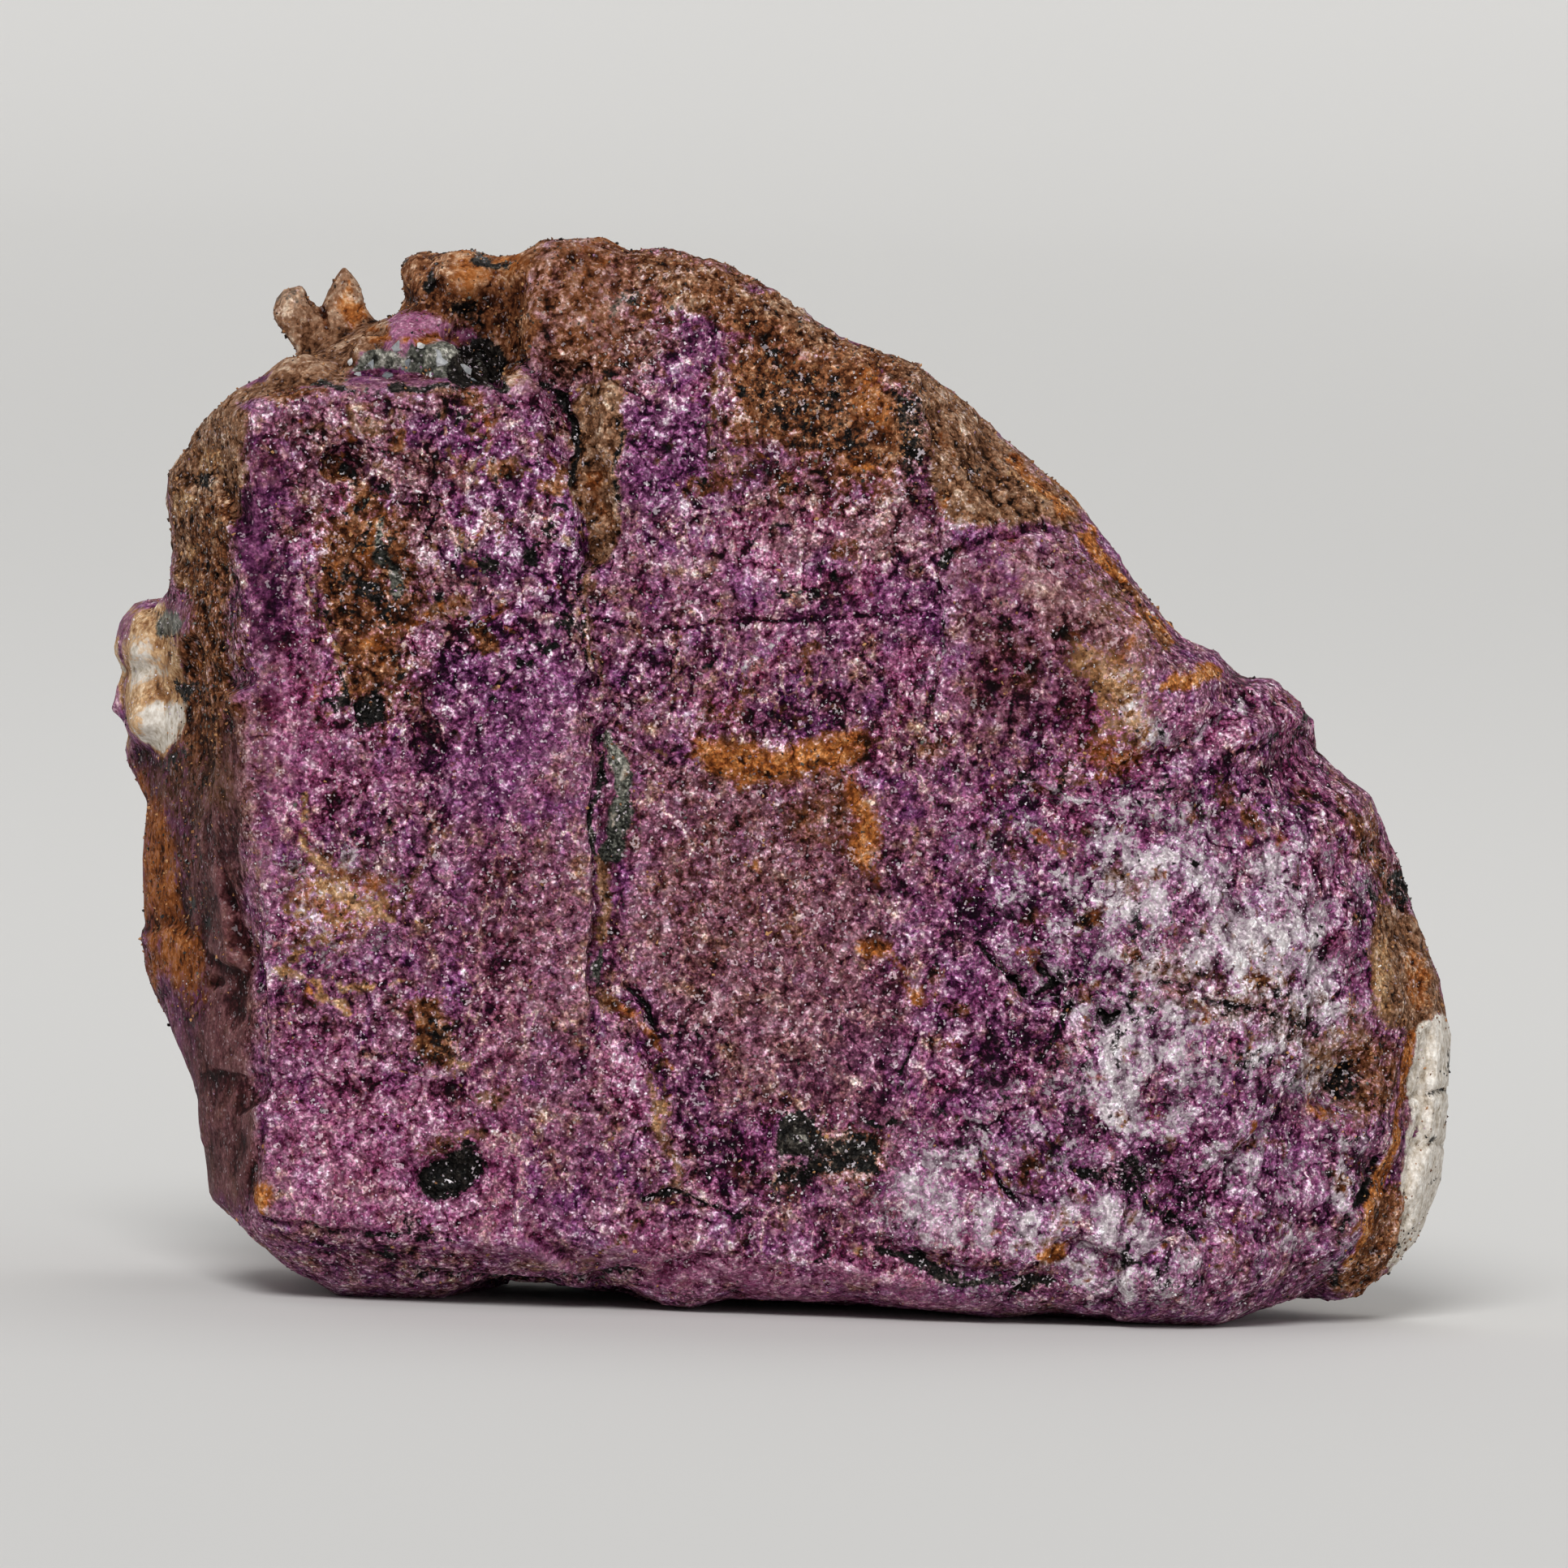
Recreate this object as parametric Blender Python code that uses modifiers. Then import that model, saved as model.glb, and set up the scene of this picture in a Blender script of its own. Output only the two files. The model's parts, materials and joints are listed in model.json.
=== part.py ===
"""A purpurite hand specimen: one broken stone that stands on its flat underside.

The stone is read in a picture frame of 1932 by 1932 pixels: u runs right, v runs down and
depth runs away from the eye, all in pixels of PIXEL metres on the stone's front face.
"""

import math

import bmesh
import bpy
import numpy as np
from mathutils import Matrix, Vector, kdtree, noise

# Driving dimensions, in metres and degrees
STONE_WIDTH = 0.066
READ_WIDTH = 1650
PIXEL = STONE_WIDTH / READ_WIDTH
VIEW_DISTANCE = 1.2
VIEW_ELEVATION = math.radians(3.0)
VIEW_ROLL = math.radians(2.0)
SLAB_THICKNESS = 0.010
SLAB_VOXEL = 0.0005
STONE_VOXEL = 0.00042
TRIANGLES = 9000
FOOT_CUT_V = 1628

# Picture frame
CENTRE = 966
DISTANCE = VIEW_DISTANCE / PIXEL

# Outline of the stone without its horns and cream lump, clockwise from the left, in (u, v)
OUTLINE = [
    (173, 1050), (177, 978), (160, 952), (150, 905), (164, 820), (185, 752), (210, 720),
    (212, 670), (199, 612), (211, 567), (235, 542), (243, 512), (290, 476), (345, 452),
    (400, 430), (452, 397), (505, 381), (497, 345), (492, 322), (520, 307), (570, 322),
    (642, 314), (675, 291), (745, 290), (772, 302), (830, 299), (892, 320), (970, 368),
    (1040, 418), (1090, 434), (1142, 453), (1202, 505), (1250, 547), (1328, 617),
    (1354, 655), (1406, 724), (1456, 784), (1506, 802), (1524, 834), (1572, 840),
    (1622, 890), (1612, 912), (1650, 950), (1690, 975), (1724, 1050), (1755, 1150),
    (1780, 1200), (1795, 1270), (1786, 1380), (1778, 1450), (1750, 1525), (1706, 1572),
    (1665, 1601), (1645, 1603), (1622, 1588), (1575, 1611), (1500, 1634), (1400, 1633),
    (1290, 1620), (1240, 1625), (1100, 1611), (900, 1598), (850, 1614), (800, 1603),
    (770, 1588), (650, 1578), (592, 1576), (545, 1598), (420, 1597), (346, 1560), (294, 1515),
    (256, 1478), (243, 1350), (225, 1300), (197, 1245), (181, 1200), (170, 1130),
]

# Front face: the crisp left corner as (v, u), the top corner as (u, v), the ledge below as (u, v)
LEFT_CORNER = [
    (460, 296), (620, 298), (760, 300), (850, 308), (1100, 305), (1190, 313), (1500, 318),
]
TOP_CORNER = [(290, 508), (330, 486), (430, 478), (590, 482), (625, 468), (660, 440)]
LOW_CORNER = [
    (290, 1488), (330, 1502), (420, 1513), (560, 1516), (700, 1530), (900, 1556),
    (1100, 1572), (1700, 1580),
]
UPPER_RIGHT_CORNER = [
    (770, 330), (860, 352), (950, 412), (1040, 462), (1128, 500), (1165, 560), (1215, 640),
    (1330, 735), (1440, 830), (1560, 905), (1640, 1000),
]

# Slopes of the faces that leave the front face, as depth over the way across
FLANK_SLOPE = 3.1
UNDERSIDE_SLOPE = 1.25
SHELF_STEP = 58
SHELF_FADE = (-4, 14)
SHELF_SLOPE = 0.9
SHELF_CUTOFF = 4
SHELF_END_U = 655
CROWN_SLOPE = 0.32
CROWN_START_V = 500
BEVEL_SLOPE = 0.85
BEVEL_START_U = 760
NO_BEVEL = -50

# Roundings of the corners between those faces, in pixels
FLANK_ROUNDING = 10
UNDERSIDE_ROUNDING = 14
SHELF_ROUNDING = 8
BEVEL_ROUNDING = 24

# Right lobe: how far it turns away, and how much more of it does so low down and high up
LOBE_START_U = 1290
LOBE_REACH = 500
LOBE_LIMIT = 1.1
LOBE_DEPTH = 250
LOBE_CURVE = 2.1
LOBE_LOW_V, LOBE_LOW_RUN, LOBE_LOW_SHARE = 1330, 300, 0.25
LOBE_HIGH_V, LOBE_HIGH_RUN, LOBE_HIGH_SHARE = 1050, 420, 0.3

# Relief on the front face, in (u, v)
VEIN_FILL = [(703, 470), (712, 540), (728, 610), (738, 690)]
VEIN_CRACK = [(722, 690), (720, 800), (740, 900), (745, 1060), (745, 1225)]
SUNK_PANEL = [
    (742, 890), (748, 1225), (800, 1300), (850, 1380), (858, 1455), (915, 1492), (975, 1485),
    (1080, 1440), (1130, 1330), (1120, 1180), (1070, 1080), (1060, 960), (1030, 890),
]
PANEL_FADE = (900, 1020)
PANEL_EDGE = (-6, 26)
PANEL_SINK = 13
LEFT_BLOCK = [
    (290, 470), (700, 470), (716, 690), (716, 800), (738, 900), (745, 1230), (795, 1305),
    (845, 1385), (855, 1460), (915, 1500), (915, 1560), (290, 1530),
]
BLOCK_EDGE = (-4, 8)
BLOCK_LIFT = 10
SHOULDER_CRACK = [(1600, 835), (1545, 860), (1450, 920), (1380, 965)]
LOW_LEDGE = [(1050, 1540), (1110, 1558), (1200, 1576), (1330, 1580)]
RIM_SEAM = [
    (1700, 1040), (1722, 1130), (1738, 1230), (1741, 1330), (1728, 1420), (1695, 1500),
    (1655, 1565), (1625, 1600),
]
GROOVES = [
    # line, depth, how far from the line its side starts and ends
    (VEIN_FILL, 26, 30, 18),
    (VEIN_CRACK, 16, 16, 5),
    (SHOULDER_CRACK, 22, 22, 6),
    (LOW_LEDGE, 20, 22, 6),
    (RIM_SEAM, 46, 30, 8),
]
HOLLOW_SIDE = (1.15, 0.35)
SWELL_SIDE = (1.2, 0.2)
HOLLOWS = [
    # u, v, radius, depth
    (425, 578, 34, 16),
    (470, 740, 75, 12),
    (1030, 500, 105, 12),
    (1282, 1210, 34, 26),
    (1360, 1252, 24, 22),
    (1665, 1335, 36, 30),
    (1690, 1445, 26, 26),
    (545, 1440, 52, 10),
    (550, 1275, 44, 9),
    (1240, 960, 60, 10),
    (1480, 1480, 46, 14),
    (600, 442, 20, 40),
]
SWELLS = [
    # u, v, radius, height
    (1015, 1428, 62, 16),
    (1500, 1180, 190, 22),
    (1250, 730, 110, 12),
    (440, 1120, 80, 7),
    (1180, 1480, 120, 10),
    (1560, 880, 62, 30),
    (1650, 1000, 60, 22),
    (700, 370, 70, 14),
    (560, 355, 60, 34),
]

# Back of the stone: planes as (depth at the middle, rise over u, rise over v)
BACK_MIDDLE = (900, 1100)
BACK_PLANES = [
    (880, 0.08, 0.10),
    (985, -0.36, 0.26),
    (1015, 0.50, 0.22),
    (900, -0.10, 0.60),
    (1330, -0.78, 0.62),
    (1230, 0.80, 0.02),
    (1000, 0.16, -0.66),
    (1230, -0.70, -0.36),
]
# Broken steps across the back: a point (u, v), the way the step faces, and how far it drops
BACK_STEPS = [
    (760, 900, 20, 34),
    (1120, 1180, 205, 42),
    (980, 1340, 110, 26),
    (560, 1180, 160, 24),
    (1240, 820, 320, 30),
]
STEP_WAVES = [
    # height and length of the waves along a step's edge
    (26, 61),
    (12, 23),
]
STEP_EDGE = (-3, 9)
STEP_RUN_OUT = (420, 150)
BACK_CORNER_ROUNDING = 16
BACK_ROUNDING = 110
RIM_THICKNESS = 95
BACK_TAPER = 0.085
BACK_TAPER_CURVE = 1.6
NO_TAPER_V = (1350, 1600)

# Rounding along the outline's front side: plain, and what the lobe and the shoulder add
EDGE_RADIUS = 34
LOBE_EDGE_RADIUS, LOBE_EDGE_U = 90, (1350, 1600)
SHOULDER_EDGE_RADIUS, SHOULDER_EDGE_U, SHOULDER_EDGE_V = 22, (1000, 1250), (900, 700)
EDGE_STEEPNESS = 0.98

# Unevenness of the rim between the front and the back
WOBBLE_WAVE, WOBBLE_LIFT = 150, 26
WOBBLE_SHARE = (0.12, 0.5)
WOBBLE_MARGIN = (60, 10)

# Lumps that stand out of the stone: (u, v, depth), half sizes the same way, corners
LUMPS = [
    # Cream lumps and their smaller neighbours on the left flank
    ((190, 788, 430), (54, 54, 120), 26),
    ((190, 872, 440), (48, 60, 130), 26),
    ((228, 598, 300), (28, 42, 100), 20),
    ((228, 712, 300), (22, 36, 90), 20),
    # Grey quartz on the shelf, the red cap over it and the tan rock beside it
    ((452, 440, 88), (26, 34, 40), 14),
    ((497, 436, 74), (34, 38, 44), 13),
    ((546, 448, 66), (32, 32, 40), 13),
    ((576, 462, 78), (18, 20, 26), 12),
    ((514, 408, 128), (56, 27, 60), 22),
    ((380, 462, 110), (58, 27, 80), 22),
    # Rusty block behind the shelf
    ((565, 354, 170), (70, 46, 96), 22),
    ((512, 338, 180), (20, 30, 50), 16),
    # Knobs on the right shoulder
    ((1570, 872, 200), (30, 28, 60), 16),
    ((1616, 952, 250), (24, 20, 60), 16),
]

# Horns on the top left: a line of (u, v, depth, radius) for each
HORNS = [
    [
        (398, 470, 190, 26), (388, 436, 195, 21), (374, 412, 200, 20), (362, 390, 200, 28),
        (362, 370, 200, 25), (372, 352, 200, 8),
    ],
    [
        (402, 446, 185, 28), (412, 412, 190, 27), (418, 384, 196, 22), (424, 358, 200, 18),
        (426, 328, 203, 9),
    ],
    [(446, 430, 190, 22), (440, 402, 194, 19), (438, 372, 200, 14), (435, 350, 200, 10)],
]

# Roughness of the broken rock, in pixels
BROAD_WAVE, BROAD_LIFT = 260, 14
MIDDLE_WAVE, MIDDLE_LIFT = 85, 5
FACETS, FACET_TILT = 190, 0.07
OUTLINE_ROUGHNESS = 0.15
OUTLINE_ROOM = 80
DEEP_ROOM_START, DEEP_ROOM_SHARE = 350, 0.25
CALM_FACING = (0.75, 0.97)
CALM_U = (1400, 1160)
CALM_WAVES, CALM_FACETS = 0.8, 0.95
LUMP_SHAKE = (0.82, 1.08)
SEED = 41

PURPLE = (0.16, 0.045, 0.15, 1.0)
STONE_ROUGHNESS = 0.62


def clear_scene():
    """Removes every object that the file opened with."""
    for old in list(bpy.data.objects):
        bpy.data.objects.remove(old, do_unlink=True)


def new_collection(name):
    """A collection of that name, linked to the scene."""
    made = bpy.data.collections.new(name)
    bpy.context.scene.collection.children.link(made)
    return made


def new_object(name, mesh, collection):
    """An object for the mesh, in the collection."""
    made = bpy.data.objects.new(name, mesh)
    collection.objects.link(made)
    return made


def evaluated_mesh(obj):
    """The object's mesh with its modifiers applied."""
    graph = bpy.context.evaluated_depsgraph_get()
    return bpy.data.meshes.new_from_object(obj.evaluated_get(graph))


def apply_modifiers(obj):
    """Puts the evaluated mesh in place of the object's own, and drops the modifiers."""
    mesh = evaluated_mesh(obj)
    old = obj.data
    obj.modifiers.clear()
    obj.data = mesh
    bpy.data.meshes.remove(old)


def view_axes():
    """Right, up and forward of the eye that the picture frame belongs to."""
    level_up = Vector((0.0, math.sin(VIEW_ELEVATION), math.cos(VIEW_ELEVATION)))
    level_right = Vector((1.0, 0.0, 0.0))
    forward = Vector((0.0, math.cos(VIEW_ELEVATION), -math.sin(VIEW_ELEVATION)))
    right = math.cos(VIEW_ROLL) * level_right + math.sin(VIEW_ROLL) * level_up
    up = -math.sin(VIEW_ROLL) * level_right + math.cos(VIEW_ROLL) * level_up
    return right, up, forward


def to_world(u, v, depth):
    """Metres for places in the picture frame, before the origin is set."""
    right, up, forward = (np.array(axis) for axis in view_axes())
    spread = PIXEL * (1 + depth / DISTANCE)
    across = ((u - CENTRE) * spread)[..., None] * right
    upward = ((CENTRE - v) * spread)[..., None] * up
    return across + upward + (depth * PIXEL)[..., None] * forward


def to_picture(places):
    """The u, v and depth of places in metres, the reverse of to_world."""
    right, up, forward = (np.array(axis) for axis in view_axes())
    depth = places @ forward / PIXEL
    spread = PIXEL * (1 + depth / DISTANCE)
    return CENTRE + places @ right / spread, CENTRE - places @ up / spread, depth


def point_in_world(u, v, depth):
    """to_world for one place, as a Vector."""
    return Vector(to_world(np.float64(u), np.float64(v), np.float64(depth)))


def smooth_rise(low, high, value):
    """0 below low, 1 above high, and a smooth rise between."""
    step = np.clip((value - low) / (high - low), 0, 1)
    return step * step * (3 - 2 * step)


def soft_max(first, second, width):
    """The larger of two, with the corner between them rounded over the width."""
    mix = np.clip(0.5 + 0.5 * (second - first) / width, 0, 1)
    return first + (second - first) * mix + width * mix * (1 - mix)


def line_distance(u, v, line):
    """How far each place is from a line of points."""
    best = np.full(u.shape, np.inf)
    for (u0, v0), (u1, v1) in zip(line[:-1], line[1:]):
        run_u, run_v = u1 - u0, v1 - v0
        along = ((u - u0) * run_u + (v - v0) * run_v) / (run_u * run_u + run_v * run_v)
        along = np.clip(along, 0, 1)
        best = np.minimum(best, np.hypot(u - u0 - along * run_u, v - v0 - along * run_v))
    return best


def inside(u, v, ring):
    """Whether each place is inside a closed ring of points."""
    found = np.zeros(u.shape, bool)
    for (u0, v0), (u1, v1) in zip(ring, ring[1:] + ring[:1]):
        crosses = (v0 > v) != (v1 > v)
        reach = u0 + (v - v0) * (u1 - u0) / ((v1 - v0) or 1e-9)
        found ^= crosses & (u < reach)
    return found


def ring_depth(u, v, ring):
    """How far inside a closed ring each place is, below zero outside it."""
    distance = line_distance(u, v, ring + ring[:1])
    return np.where(inside(u, v, ring), distance, -distance)


def read_along_u(line, u):
    """The v of a line of (u, v) points at each u."""
    return np.interp(u, [point[0] for point in line], [point[1] for point in line])


def rock_noise(u, v, depth, wave, seed):
    """Smooth noise about -1 to 1 at each place, with the given wavelength."""
    shift = Vector((seed * 7.31, seed * 3.77, seed * 5.13))
    return np.array([
        noise.fractal(Vector(place) / wave + shift, 0.9, 2.1, 3) for place in zip(u, v, depth)
    ])


def front_relief(u, v):
    """Low forms of the front face: proud block, sunk panel, vein, hollows and swells."""
    relief = -BLOCK_LIFT * smooth_rise(*BLOCK_EDGE, ring_depth(u, v, LEFT_BLOCK))
    panel = smooth_rise(*PANEL_EDGE, ring_depth(u, v, SUNK_PANEL))
    relief += PANEL_SINK * panel * smooth_rise(*PANEL_FADE, v)
    for groove, sink, start, end in GROOVES:
        relief += sink * smooth_rise(start, end, line_distance(u, v, groove))
    for at_u, at_v, radius, sink in HOLLOWS:
        start, end = (radius * share for share in HOLLOW_SIDE)
        relief += sink * smooth_rise(start, end, np.hypot(u - at_u, v - at_v))
    for at_u, at_v, radius, lift in SWELLS:
        start, end = (radius * share for share in SWELL_SIDE)
        relief -= lift * smooth_rise(start, end, np.hypot(u - at_u, v - at_v))
    return relief


def lobe_roll(u, v):
    """How the right lobe turns away from the eye."""
    across = np.clip((u - LOBE_START_U) / LOBE_REACH, 0, LOBE_LIMIT)
    below = np.clip((v - LOBE_LOW_V) / LOBE_LOW_RUN, 0, 1)
    above = np.clip((LOBE_HIGH_V - v) / LOBE_HIGH_RUN, 0, 1)
    reach = across * (1 + LOBE_LOW_SHARE * below + LOBE_HIGH_SHARE * above)
    return LOBE_DEPTH * reach**LOBE_CURVE


def front_depth(u, v):
    """Depth of the side that faces the eye."""
    depth = front_relief(u, v) + lobe_roll(u, v)
    depth += CROWN_SLOPE * np.clip(CROWN_START_V - v, 0, None)
    corner_u = np.interp(v, [point[0] for point in LEFT_CORNER], [point[1] for point in LEFT_CORNER])
    depth = soft_max(depth, FLANK_SLOPE * (corner_u - u), FLANK_ROUNDING)
    low_v = read_along_u(LOW_CORNER, u)
    depth = soft_max(depth, UNDERSIDE_SLOPE * (v - low_v), UNDERSIDE_ROUNDING)
    above = read_along_u(TOP_CORNER, u) - v
    above = np.minimum(above, SHELF_END_U - u)
    shelf = SHELF_STEP * smooth_rise(*SHELF_FADE, above) + SHELF_SLOPE * above
    shelf = np.where(above < 0, SHELF_CUTOFF * above, shelf)
    depth = soft_max(depth, shelf, SHELF_ROUNDING)
    over = read_along_u(UPPER_RIGHT_CORNER, u) - v
    over = np.where(u > BEVEL_START_U, over, NO_BEVEL)
    return soft_max(depth, BEVEL_SLOPE * over, BEVEL_ROUNDING)


def back_depth(u, v):
    """Depth of the side that faces away, a few broken faces."""
    across, down = u - BACK_MIDDLE[0], v - BACK_MIDDLE[1]
    faces = [middle + over_u * across + over_v * down for middle, over_u, over_v in BACK_PLANES]
    depth = faces[0]
    for face in faces[1:]:
        depth = -soft_max(-depth, -face, BACK_CORNER_ROUNDING)
    for at_u, at_v, degrees, drop in BACK_STEPS:
        way = math.radians(degrees)
        past = (u - at_u) * math.cos(way) + (v - at_v) * math.sin(way)
        aside = (v - at_v) * math.cos(way) - (u - at_u) * math.sin(way)
        past += sum(height * np.sin(aside / length) for height, length in STEP_WAVES)
        depth -= drop * smooth_rise(*STEP_EDGE, past) * smooth_rise(*STEP_RUN_OUT, past)
    return depth


def edge_rounding(distance, radius):
    """How much a face gives way towards an edge that many pixels off."""
    share = np.clip(1 - distance / radius, 0, 1)
    return radius * (1 - np.sqrt(1 - share * share * EDGE_STEEPNESS))


def edge_radius(u, v):
    """Radius of the rounding along the outline's front side."""
    radius = np.full(u.shape, float(EDGE_RADIUS))
    radius += LOBE_EDGE_RADIUS * smooth_rise(*LOBE_EDGE_U, u)
    radius += SHOULDER_EDGE_RADIUS * smooth_rise(*SHOULDER_EDGE_U, u) * smooth_rise(*SHOULDER_EDGE_V, v)
    return radius


def outline_slab(collection):
    """The outline as a flat slab of even small faces, in pixels by thickness share."""
    curve = bpy.data.curves.new("outline", "CURVE")
    curve.dimensions = "2D"
    curve.fill_mode = "BOTH"
    curve.extrude = SLAB_THICKNESS / 2
    spline = curve.splines.new("POLY")
    spline.points.add(len(OUTLINE) - 1)
    spline.use_cyclic_u = True
    for point, (u, v) in zip(spline.points, OUTLINE):
        point.co = (u * PIXEL, -v * PIXEL, 0, 1)
    guide = bpy.data.objects.new("outline", curve)
    collection.objects.link(guide)
    bpy.context.view_layer.update()
    mesh = evaluated_mesh(guide)
    bpy.data.objects.remove(guide)
    form = bmesh.new()
    form.from_mesh(mesh)
    bmesh.ops.remove_doubles(form, verts=form.verts, dist=1e-6)
    bmesh.ops.recalc_face_normals(form, faces=form.faces)
    form.to_mesh(mesh)
    form.free()
    slab = new_object("purpurite_specimen", mesh, collection)
    fuse(slab, SLAB_VOXEL)
    return slab


def fuse(obj, voxel):
    """Remakes the object's shells as one skin of even faces."""
    remesh = obj.modifiers.new("fuse", "REMESH")
    remesh.mode = "VOXEL"
    remesh.voxel_size = voxel
    apply_modifiers(obj)
    settle_order(obj.data)


def settle_order(mesh):
    """Renumbers a skin of quads by place and splits each across its shorter diagonal.

    The skin comes with its points in no fixed order, and the thinning that follows depends on it.
    """
    places = vertex_places(mesh)
    order = np.lexsort(places.T[::-1])
    rank = np.empty(len(order), int)
    rank[order] = np.arange(len(order))
    quads = np.empty(len(mesh.loops), np.int32)
    mesh.polygons.foreach_get("vertices", quads)
    quads = rank[quads.reshape(-1, 4)]
    turn = (quads.argmin(axis=1)[:, None] + np.arange(4)) % 4
    quads = np.take_along_axis(quads, turn, axis=1)
    quads = quads[np.lexsort(quads.T[::-1])]
    places = places[order]
    first = np.linalg.norm(places[quads[:, 0]] - places[quads[:, 2]], axis=1)
    second = np.linalg.norm(places[quads[:, 1]] - places[quads[:, 3]], axis=1)
    across = first <= second
    halves = np.where(across[:, None], quads[:, [0, 1, 2, 0, 2, 3]], quads[:, [1, 2, 3, 1, 3, 0]])
    mesh.clear_geometry()
    mesh.from_pydata(places, [], halves.reshape(-1, 3).tolist())


def vertex_places(mesh):
    """The mesh's points as an array."""
    places = np.empty(len(mesh.vertices) * 3)
    mesh.vertices.foreach_get("co", places)
    return places.reshape(-1, 3)


def set_vertex_places(mesh, places):
    """Moves the mesh's points to the rows of the array."""
    mesh.vertices.foreach_set("co", np.ascontiguousarray(places, np.float32).ravel())
    mesh.update()


def press_to_shape(slab):
    """Moves the slab's two faces to the stone's front and back."""
    places = vertex_places(slab.data)
    u, v = places[:, 0] / PIXEL, -places[:, 1] / PIXEL
    share = np.clip(0.5 - places[:, 2] / SLAB_THICKNESS, 0, 1)
    margin = np.clip(ring_depth(u, v, OUTLINE), 0, None)
    front = front_depth(u, v) + edge_rounding(margin, edge_radius(u, v))
    back = back_depth(u, v) - edge_rounding(margin, BACK_ROUNDING)
    back = np.maximum(back, front + RIM_THICKNESS)
    depth = front + share * (back - front)
    taper = 1 - BACK_TAPER * share**BACK_TAPER_CURVE
    low = smooth_rise(*NO_TAPER_V, v)
    u = BACK_MIDDLE[0] + (u - BACK_MIDDLE[0]) * taper
    v = BACK_MIDDLE[1] + (v - BACK_MIDDLE[1]) * (taper + (1 - taper) * low)
    wobble = smooth_rise(*WOBBLE_SHARE, share) * smooth_rise(*WOBBLE_MARGIN, margin) * WOBBLE_LIFT
    u = u - wobble * np.abs(rock_noise(u, v, depth, WOBBLE_WAVE, SEED)) * np.sign(u - BACK_MIDDLE[0])
    set_vertex_places(slab.data, to_world(u, v, depth))


def add_lump(form, place, half_sizes, corners, seed):
    """Adds an angular lump to the mesh: the hull of scattered points of an ellipsoid."""
    draws = np.random.default_rng(seed)
    points = []
    for index in range(corners):
        # Points spread evenly over a ball by the golden angle, then shaken
        height = 1 - 2 * (index + 0.5) / corners
        turn = math.pi * (3 - math.sqrt(5)) * index
        flat = math.sqrt(1 - height * height)
        spread = draws.uniform(*LUMP_SHAKE)
        around = np.array([flat * math.cos(turn), flat * math.sin(turn), height]) * spread
        at = np.array(place) + around * half_sizes
        points.append(form.verts.new(point_in_world(*at)))
    hull = bmesh.ops.convex_hull(form, input=points)
    inner = hull["geom_interior"] + hull["geom_unused"]
    loose = {item for item in inner if isinstance(item, bmesh.types.BMVert)}
    bmesh.ops.delete(form, geom=list(loose), context="VERTS")


def horn_mesh(line, collection):
    """A horn as a tapered tube along its line."""
    curve = bpy.data.curves.new("horn", "CURVE")
    curve.dimensions = "3D"
    curve.bevel_depth = PIXEL
    curve.bevel_resolution = 2
    curve.use_fill_caps = True
    spline = curve.splines.new("POLY")
    spline.points.add(len(line) - 1)
    for point, (u, v, depth, radius) in zip(spline.points, line):
        point.co = (*point_in_world(u, v, depth), 1)
        point.radius = radius
    guide = bpy.data.objects.new("horn", curve)
    collection.objects.link(guide)
    bpy.context.view_layer.update()
    mesh = evaluated_mesh(guide)
    bpy.data.objects.remove(guide)
    return mesh


def add_outgrowths(stone, collection):
    """Joins the lumps and the horns to the stone."""
    form = bmesh.new()
    form.from_mesh(stone.data)
    for index, (place, half_sizes, corners) in enumerate(LUMPS):
        add_lump(form, place, half_sizes, corners, SEED + index)
    for line in HORNS:
        mesh = horn_mesh(line, collection)
        first = len(form.verts)
        form.from_mesh(mesh)
        form.verts.ensure_lookup_table()
        bmesh.ops.remove_doubles(form, verts=form.verts[first:], dist=1e-6)
        bpy.data.meshes.remove(mesh)
    form.to_mesh(stone.data)
    form.free()
    fuse(stone, STONE_VOXEL)


def facet_lifts(places):
    """Offsets that break a surface into tilted facets, one about each of a set of scattered points."""
    draws = np.random.default_rng(SEED)
    low, high = places.min(axis=0), places.max(axis=0)
    middles = draws.uniform(low, high, (FACETS, 3))
    tilts = draws.normal(0, FACET_TILT, (FACETS, 3))
    finder = kdtree.KDTree(FACETS)
    for index, middle in enumerate(middles):
        finder.insert(middle, index)
    finder.balance()
    nearest = np.array([finder.find(place)[1] for place in places])
    return np.einsum("ij,ij->i", places - middles[nearest], tilts[nearest])


def roughen(stone):
    """Breaks up the skin, least on the front face and where it makes the outline."""
    mesh = stone.data
    places = vertex_places(mesh)
    normals = np.empty(len(mesh.vertices) * 3)
    mesh.vertices.foreach_get("normal", normals)
    normals = normals.reshape(-1, 3)
    pixels = places / PIXEL
    u, v, depth = to_picture(places)
    calm = smooth_rise(*CALM_FACING, -normals[:, 1]) * smooth_rise(*CALM_U, u)
    room = ring_depth(u, v, OUTLINE) + DEEP_ROOM_SHARE * np.clip(depth - DEEP_ROOM_START, 0, None)
    free = OUTLINE_ROUGHNESS + (1 - OUTLINE_ROUGHNESS) * smooth_rise(0, OUTLINE_ROOM, room)
    lift = BROAD_LIFT * rock_noise(*pixels.T, BROAD_WAVE, SEED + 1)
    lift += MIDDLE_LIFT * rock_noise(*pixels.T, MIDDLE_WAVE, SEED + 2)
    lift = lift * (1 - CALM_WAVES * calm) + facet_lifts(pixels) * (1 - CALM_FACETS * calm)
    set_vertex_places(mesh, places + normals * (lift * free * PIXEL)[:, None])


def thin_out(stone):
    """Brings the skin down to the number of triangles that its forms need."""
    mesh = stone.data
    mesh.calc_loop_triangles()
    thin = stone.modifiers.new("thin", "DECIMATE")
    thin.ratio = TRIANGLES / len(mesh.loop_triangles)
    thin.use_collapse_triangulate = True
    apply_modifiers(stone)


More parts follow.
